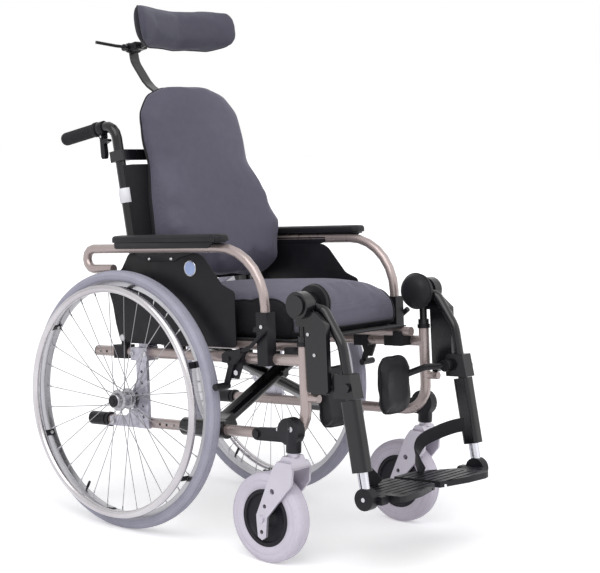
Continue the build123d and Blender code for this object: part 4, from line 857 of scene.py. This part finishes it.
def panels(made, place, rule, front, rear):
    """Cuts the cover along the line where rule is nought, and gives each side its fabric.

    Returns the cut as closed lines of points."""
    inverse = place.inverted()
    made.data.materials.clear()
    made.data.materials.append(M[front])
    made.data.materials.append(M[rear])
    bm = bmesh.new()
    bm.from_mesh(made.data)
    value = {}
    for v in bm.verts:
        r = rule(inverse @ v.co)
        value[v] = r if abs(r) > NEAR_SEAM else NEAR_SEAM
    cut = set()
    for e in list(bm.edges):
        a, b = e.verts
        if value[a] * value[b] < 0:
            share = value[a] / (value[a] - value[b])
            _, fresh = bmesh.utils.edge_split(e, a, min(0.95, max(0.05, share)))
            value[fresh] = 0.0
            cut.add(fresh)
    seam = {}
    for f in list(bm.faces):
        found = [v for v in f.verts if v in cut]
        if len(found) == 2:
            halves = bmesh.utils.face_split(f, found[0], found[1])
            if halves:
                seam.setdefault(found[0], []).append(found[1])
                seam.setdefault(found[1], []).append(found[0])
    for f in bm.faces:
        f.smooth = True
        f.material_index = 0 if sum(value[v] for v in f.verts) > 0 else 1
    lines, seen = [], set()
    for start in seam:
        if start in seen:
            continue
        line, here, before = [], start, None
        while here is not None and here not in seen:
            seen.add(here)
            line.append(here.co.copy())
            after = [v for v in seam[here] if v is not before and v not in seen]
            before, here = here, (after[0] if after else None)
        lines.append(line)
    bm.to_mesh(made.data)
    bm.free()
    return [line for line in lines if len(line) > SHORTEST_SEAM]


def even(line, step, rounds=12):
    """A closed line smoothed and spaced evenly."""
    at = np.array([tuple(p) for p in line])
    for _ in range(rounds):
        at = at * 0.5 + (np.roll(at, 1, 0) + np.roll(at, -1, 0)) * 0.25
    loop = np.vstack([at, at[:1]])
    place = np.concatenate([[0], np.cumsum(np.linalg.norm(np.diff(loop, axis=0), axis=1))])
    count = max(8, int(place[-1] / step))
    return [Vector([float(np.interp(s, place, loop[:, i])) for i in range(3)])
            for s in np.linspace(0, place[-1], count, endpoint=False)]


def sew(made, lines, depth=0.0016, width=0.0045):
    """Draws the cover in along its seams."""
    points = [p for line in lines for p in line]
    if not points:
        return
    tree = kdtree.KDTree(len(points))
    for i, p in enumerate(points):
        tree.insert(p, i)
    tree.balance()
    mesh = made.data
    normals = coordinates(mesh, "normal")
    at = coordinates(mesh)
    for i, p in enumerate(at):
        _, _, far = tree.find(p)
        if far < 3 * width:
            at[i] -= normals[i] * depth * exp(-(far / width) ** 2)
    put(mesh, at)


def piping(name, lines, radius, material, body):
    """A cord sewn into a seam."""
    parts = [along([p * 1000 for p in line], circle(radius, 8), material, closed=True) for line in lines]
    return piece(name, parts, MM, body)


def sewn(name, node, place, seam, fabrics, size, room=None, order=0):
    """A CAD node's shell as a cushion sewn along the line where seam is nought, and that seam's lines.

    size is (voxel, most that it swells, stitch) in metres and the rounds of smoothing before it swells."""
    voxel, cap, stitch, smooth = size
    made = stuff(shell(name, node, order), voxel, cap, smooth)
    if room:
        hold(made, place, room)
    seams = [even(line, stitch) for line in panels(made, place, seam, *fabrics)]
    sew(made, seams)
    return made, seams


# seat cushion, in the level frame
SEAT_FLOOR = 438 + 11 + 0.3 + 3.0 + 0.3  # rail axis, rail, gap, sling, gap
SEAT_SIDE, SEAT_ENDS = 216, (60, 485)
SEAT_SEAM_Y, SEAT_SEAM_UP = 184, 14  # the seam's distance from the middle and from the floor


def seat_room(at):
    at[:, 2] = np.maximum(at[:, 2], SEAT_FLOOR)
    at[:, 1] = np.clip(at[:, 1], -SEAT_SIDE, SEAT_SIDE)
    at[:, 0] = np.clip(at[:, 0], *SEAT_ENDS)


def seat_top(p):
    return min(SEAT_SEAM_Y - abs(p.y), (p.z - SEAT_FLOOR - SEAT_SEAM_UP) * 2)


seat, seat_seams = sewn("seat_pad_sewn", "seat_cushion", LEVEL, seat_top, ("seat_fabric", "side_fabric"),
                        (0.0065, 0.014, 0.004, 6), seat_room)
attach(seat, "seat")
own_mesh(seat)
if seat_seams:
    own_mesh(piping("seat_piping", seat_seams, 1.7, "thread", "seat"))

# the seat's sling, hung over the seat rails
SLING_X, SLING_THICK = (68.0, 492.0), 2.8
lower = [(196, 449.4), (190, 449.6), (120, 449.5), (0, 449.3), (-120, 449.5), (-190, 449.6), (-196, 449.4)]
upper = [(y, z + SLING_THICK) for y, z in reversed(lower)]
rings = [[(x, y, z) for y, z in lower + upper] for x in np.linspace(*SLING_X, 16)]
sling = piece("seat_sling", [loft(rings, "webbing")], LEVEL, "seat")
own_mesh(sling)
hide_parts("seat_cushion")

# back cushion and its sling, in the back's frame
BACK_SHELL = 26.3
BACK_SIDE = 208
SEAM_T, SEAM_N = (122.0, 300.0, 550.0), (30.0, 26.0, 16.0)  # the rear seam's height, and distance from the shell


def back_room(at):
    at[:, 0] = np.maximum(at[:, 0], BACK_SHELL)
    at[:, 1] = np.clip(at[:, 1], -BACK_SIDE, BACK_SIDE)


def back_front(p):
    return p.x - BACK_SHELL - float(np.interp(p.z, SEAM_T, SEAM_N))


back, back_seams = sewn("back_pad_sewn", "back_cushion", BACK, back_front, ("back_fabric", "side_fabric"),
                        (0.0065, 0.012, 0.004, 6), back_room)
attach(back, "back_right")
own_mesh(back)
if back_seams:
    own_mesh(piping("back_piping", back_seams, 1.7, "thread", "back_right"))

TUBE_Y = 205.0
ON_TUBE = [radians(d) for d in (20, 10, 0)]  # round the tube's front, where the sling is sewn to it
SLING_T = (131, 419)
outer, inner = ([(r * cos(a), TUBE_Y + r * sin(a)) for a in ON_TUBE] + flat for r, flat in (
    (14.3, [(23.2, 190.0), (25.6, 120.0), (25.9, 0.0)]), (12.9, [(20.6, 188.0), (23.0, 120.0), (23.2, 0.0)])))
section = outer + [(n, -y) for n, y in outer[:-1][::-1]]
section += [(n, -y) for n, y in inner] + [(n, y) for n, y in inner[:-1][::-1]]
rings = [[(n, y, t) for n, y in section] for t in np.linspace(*SLING_T, 14)]
sling = piece("back_sling", [loft(rings, "webbing")], BACK, "back_right")
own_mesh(sling)
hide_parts("back_cushion")


# headrest pad and what carries it, in the back's frame
HEAD_N, HEAD_T = 34.0, 750.0
CURL_Y = np.array([0.0, 0.66, 0.94, 1.0]) * 163.0  # how far the pad curls forward towards its ends
CURL_N = np.array([0.0, 24.0, 54.0, 62.0])


def head_front(p):
    return p.x - HEAD_N - float(np.interp(abs(p.y), CURL_Y, CURL_N)) + 8


head, head_seams = sewn("head_pad_sewn", "headrest_pad", BACK, head_front, ("head_fabric", "head_rear"),
                        (0.005, 0.006, 0.0035, 8))
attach(head, "headrest_pad")
if head_seams:
    piping("head_piping", head_seams, 1.3, "thread", "headrest_pad")
kn, kt = -107.0, 742.0  # the clamp on the stem
rear = HEAD_N - 30
neck = fillet([(kn + 26, 0, kt), (rear - 30, 0, kt + 6), (rear - 3, 0, HEAD_T)], [60])
parts = [block((rear - 7, rear + 3), (-33, 33), (716, 784), 3, PLASTIC),
         along(neck, circle(8.3, 20), BLACK),
         block((kn + 17, kn + 32), (-20.6, 20.6), (kt - 9, kt + 9), 2.5, PLASTIC)]
for s in (-1, 1):
    y = sorted((s * 14.6, s * 20.8))
    parts.append(across(ring_profile(*y, 6.2, 11, 0.6, 0.6), kn, kt, PLASTIC, 32))
    parts.append(block((kn + 8, kn + 20), y, (kt - 8.6, kt + 8.6), 1.5, PLASTIC))
    for t in (730, 770):
        parts.append(spin((rear - 7, s * 22, t), (-1, 0, 0), [(0, 4.6), (1.6, 4.4), (2.6, 3.2)], STEEL, 12))
piece("head_bracket", parts, BACK, "headrest_pad")
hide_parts("headrest_pad")


# calf pads and their arms, in the level frame
CALF_SHELL = 1  # the pad among its node's shells; the other is its arm
CALF_N, CALF_BEND = 512.0, 240.0  # where its face is, and the radius it is bent to
CALF_Y, CALF_Z = 108.0, 321.0  # its middle
ARM_PIN_X, ARM_PIN_Z, ARM_OUT = 612.0, 362.0, 192.5


def calf_seam(p):
    """Which side of the seam round a calf pad's edge a point lies on."""
    return (p.x - CALF_N) - (p.y - CALF_Y) ** 2 / (2 * CALF_BEND) + 1.0


for side, flip in SIDES:
    body = f"calf_{side}"
    pad, seams = sewn(f"calf_pad_{side}_sewn", f"calf_pad_{side}", sided(LEVEL, flip), calf_seam,
                      ("black_vinyl", "black_vinyl"), (0.0045, 0.006, 0.0035, 5), order=CALF_SHELL)
    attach(pad, body)
    if seams:
        piping(f"calf_piping_{side}", seams, 1.3, "thread", body)
    arm = fillet([(ARM_PIN_X, ARM_OUT - 9, ARM_PIN_Z), (ARM_PIN_X - 50, ARM_OUT - 22, ARM_PIN_Z - 4),
                  (491, CALF_Y + 40, CALF_Z + 10), (491, CALF_Y, CALF_Z + 10)], [30, 24])
    boss = [(ARM_OUT - 18, 9), (ARM_OUT - 17.2, 13.4), (ARM_OUT - 16.4, 14), (ARM_OUT - 0.8, 14), (ARM_OUT, 13.2),
            (ARM_OUT, 6), (201, 6), (201, 3)]
    parts = [along(arm, circle(7.8, 16), BLACK),
             across(boss, ARM_PIN_X, ARM_PIN_Z, PLASTIC, 32),
             block((489, 500.5), (CALF_Y - 25, CALF_Y + 25), (CALF_Z - 15, CALF_Z + 35), 2.5, PLASTIC)]
    for dy in (-16, 16):
        parts.append(spin((489, CALF_Y + dy, CALF_Z + 26), (-1, 0, 0), [(0, 4.4), (1.4, 4.2), (2.4, 3.0)], STEEL, 12))
    piece(f"calf_arm_{side}", parts, LEVEL, body, flip)
    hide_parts(f"calf_pad_{side}")


# ---- armrests
ARM_BASE = 659.0 + 11.3  # the tube's axis, and up to the pad's foot
PAD_X, PAD_Y = (-20, 328), (223.5, 270)
HINGE_X, HINGE_Z, HINGE_R = -36, 446, 13.0


def oval(inset_by, z):
    """The arm pad's outline at one height."""
    x0, x1, (y0, y1) = PAD_X[0] + inset_by, PAD_X[1] - inset_by, (PAD_Y[0] + inset_by, PAD_Y[1] - inset_by)
    r = max(3, 16 - inset_by)
    made = []
    for i, (cx, cy) in enumerate(((x1 - r, y1 - r), (x0 + r, y1 - r), (x0 + r, y0 + r), (x1 - r, y0 + r))):
        for k in range(7):
            a = pi / 2 * (i + k / 6)
            made.append((cx + r * cos(a), cy + r * sin(a), z))
        if i in (0, 2):
            y, half = (y1, 0.5) if i == 0 else (y0, -0.5)
            made += [((x0 + x1) / 2 + (x1 - x0) * half * share, y, z) for share in (0.6, 0.3, 0, -0.3, -0.6)]
    return made


def make_arm_pad(side, flip):
    """The pad, the lip and bracket under it, and its two screws."""
    layers = [(6, 0.2), (6, 3.4), (1.6, 3.6), (0.5, 4.4), (0, 6), (0, 12.5), (0.8, 15.2), (2.6, 17.6),
              (5.2, 19), (9, 19.8), (15, 20.3), (20, 20.6)]
    parts = [loft([oval(i, ARM_BASE + z) for i, z in layers], "black_foam")]
    corner = (PAD_X[0], ARM_BASE)
    lip = rounded_outline([(150, 5), (12, 5), (12, -11), (314, -11), (336, 5), (151, 5)], [1, 6, 8, 4], 20, corner)
    parts.append(plate(lip, (262.5, 266.5), 1, PLASTIC))
    nose = [(-3, 8.4), (0.2, 8.4), (0.5, 7.6), (0.1, 6.4), (-0.2, 4), (0.3, 3.2)]
    parts.append(spin((PAD_X[1] - 17, PAD_Y[1], ARM_BASE + 11), (0, 1, 0), nose, "black_foam", 28))
    bracket = rounded_outline([(140, -7), (34, -7), (34, -20), (80, -42), (170, -42), (186, -34), (250, -20),
                               (250, -7), (140.5, -7)], [3, 3, 8, 8, 8, 5, 3], 20, corner)
    inner, face = 225.2, 227.5
    parts.append(plate(bracket, (inner, face), 0.7, PLASTIC))
    for dx in (88, 160):
        parts.append(across([(face - 0.5, 4.2), (face + 1.2, 4), (face + 2, 2.8), (face + 1.2, 1.8)],
                            PAD_X[0] + dx, ARM_BASE - 36, STEEL, 16))
    piece(f"arm_pad_{side}_moulded", parts, LEVEL, f"armrest_{side}", flip, [f"arm_pad_{side}"])


def make_guard(side, flip):
    """The skirt guard, the bar of its rear hinge, and its bare badge place."""
    outline = rounded_outline([(140, 434), (330, 434), (330, 560), (292, 576), (232, 647), (-4, 647), (-30, 610),
                               (-62, 596), (-92, 597), (-66, 525), (-58, 480), (-44, 434), (139, 434)],
                              [10, 10, 30, 46, 14, 22, 20, 6, 40, 60, 14], 9)
    parts = [plate(outline, (222, 225), 0.9, "guard_plastic")]
    x, z, r = HINGE_X, HINGE_Z, HINGE_R
    bar = rounded_outline([(x, z - r + 0.6), (x + r, z - r + 1), (x + r, z + 10), (x - 1, 600), (x - 27, 600),
                           (x - r, z), (x - r, z - r + 1), (x - 0.5, z - r + 0.6)], [11, 0, 6, 6, 0, 11], 15)
    parts.append(plate(bar, (218, 222.2), 0.8, BLACK))
    badge = (197, 612)
    parts += [across([(225, 9), (226.6, 8.6), (227.2, 7.2), (226.6, 5.6)], x, z, STEEL, 24),
              across([(224.8, 18.6), (226.2, 18.4), (226.9, 17.4), (226.6, 16.4), (226.3, 16)], *badge, STEEL, 40),
              across([(225, 16.1), (226.3, 16), (226.6, 12), (226.8, 6), (226.9, 1)], *badge, "badge", 40)]
    piece(f"guard_{side}_moulded", parts, LEVEL, f"armrest_{side}", flip, [f"skirt_guard_{side}"])


for side, flip in SIDES:
    make_arm_pad(side, flip)
    make_guard(side, flip)

# ---- push handles and bands
HANDLE_T = 521.0  # height of the handles' axis
BAND_T = (330, 365)

for side, flip in SIDES:
    body, top = f"back_{side}", HANDLE_T
    grip = [(-58.9, 12.9), (-59, 16.6), (-60, 17.8), (-66, 18), (-70, 17.4), (-72.5, 15.4)]
    n = -74.0  # the ribs, rear end last
    while n > -172:
        grip += [(n, 15.2), (n - 1, 16), (n - 3.6, 16), (n - 4.6, 15.2)]
        n -= 6.4
    grip += [(-178, 15.4), (-180.6, 14.2), (-182, 11.5), (-182, 3)]
    parts = [spin((0, TUBE_Y, top), (1, 0, 0), grip, "grip_rubber", 40)]
    parts.append(spin((0, TUBE_Y, top), (1, 0, 0), ring_profile(-36, -56, 12.9, 16, -0.8, 0.6), PLASTIC, 40))
    for s in (-1, 1):
        y = sorted((TUBE_Y + s * 6.5, TUBE_Y + s * 9.5))
        parts.append(block((-52, -40), y, (top - 22, top - 12.9), 0.8, PLASTIC))
        parts.append(across(ring_profile(*y, 3.2, 6, 0.5, 0.4), -46, top - 21, PLASTIC, 24))
    parts.append(across([(TUBE_Y - 10.5, 2.2), (TUBE_Y - 10, 3), (TUBE_Y + 10, 3), (TUBE_Y + 10.5, 2.2)], -46,
                        top - 21, STEEL, 16))
    piece(f"push_grip_{side}_ribbed", parts, BACK, body, flip, [f"push_grip_{side}"], 50)
    t0, t1 = BAND_T
    band = ring_profile(t0, t1, 12.7, 15.2, 0.5, 0.3)
    piece(f"white_band_{side}", [spin((0, TUBE_Y, 0), (0, 0, 1), band, "white_band", 40),
                                 block((-20.5, -14), (TUBE_Y - 3, TUBE_Y + 3), (t0 + 6, t1 - 6), 1.2, "white_band")],
          BACK, body, flip)

# ---- heel loops and knee covers
KNEE = (531, 185, 534)
HEEL_PATH = catmull([(648, 197, 225), (628, 184, 221), (602, 160, 210), (580, 124, 193), (578, 102, 166),
                     (592, 90, 145), (606, 84, 128.6)])

for side, flip in SIDES:
    strap = along(HEEL_PATH, rounded(32, 4.2, 2), "webbing", (0, 0, 1))
    loop = piece(f"heel_loop_{side}", [strap], LEVEL, None, flip, [f"heel_strap_{side}"])
    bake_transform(loop)
    x, y, z = KNEE
    dome = [(y + 12, 6), (y + 12, 40.5), (y + 8, 41.6), (y + 1, 41.2), (y - 7, 38.6), (y - 14, 33), (y - 19, 24),
            (y - 21.4, 13), (y - 22, 2)]
    bead = [(y + 2 + dy, 41.6 + dr) for dy, dr in circle(1.5, 8)]
    cover = piece(f"knee_cover_{side}", [across(dome, x, z, "black_vinyl", 64), across(bead, x, z, "thread", 64, True)],
                  LEVEL, f"leg_{side}", flip, limit=60)
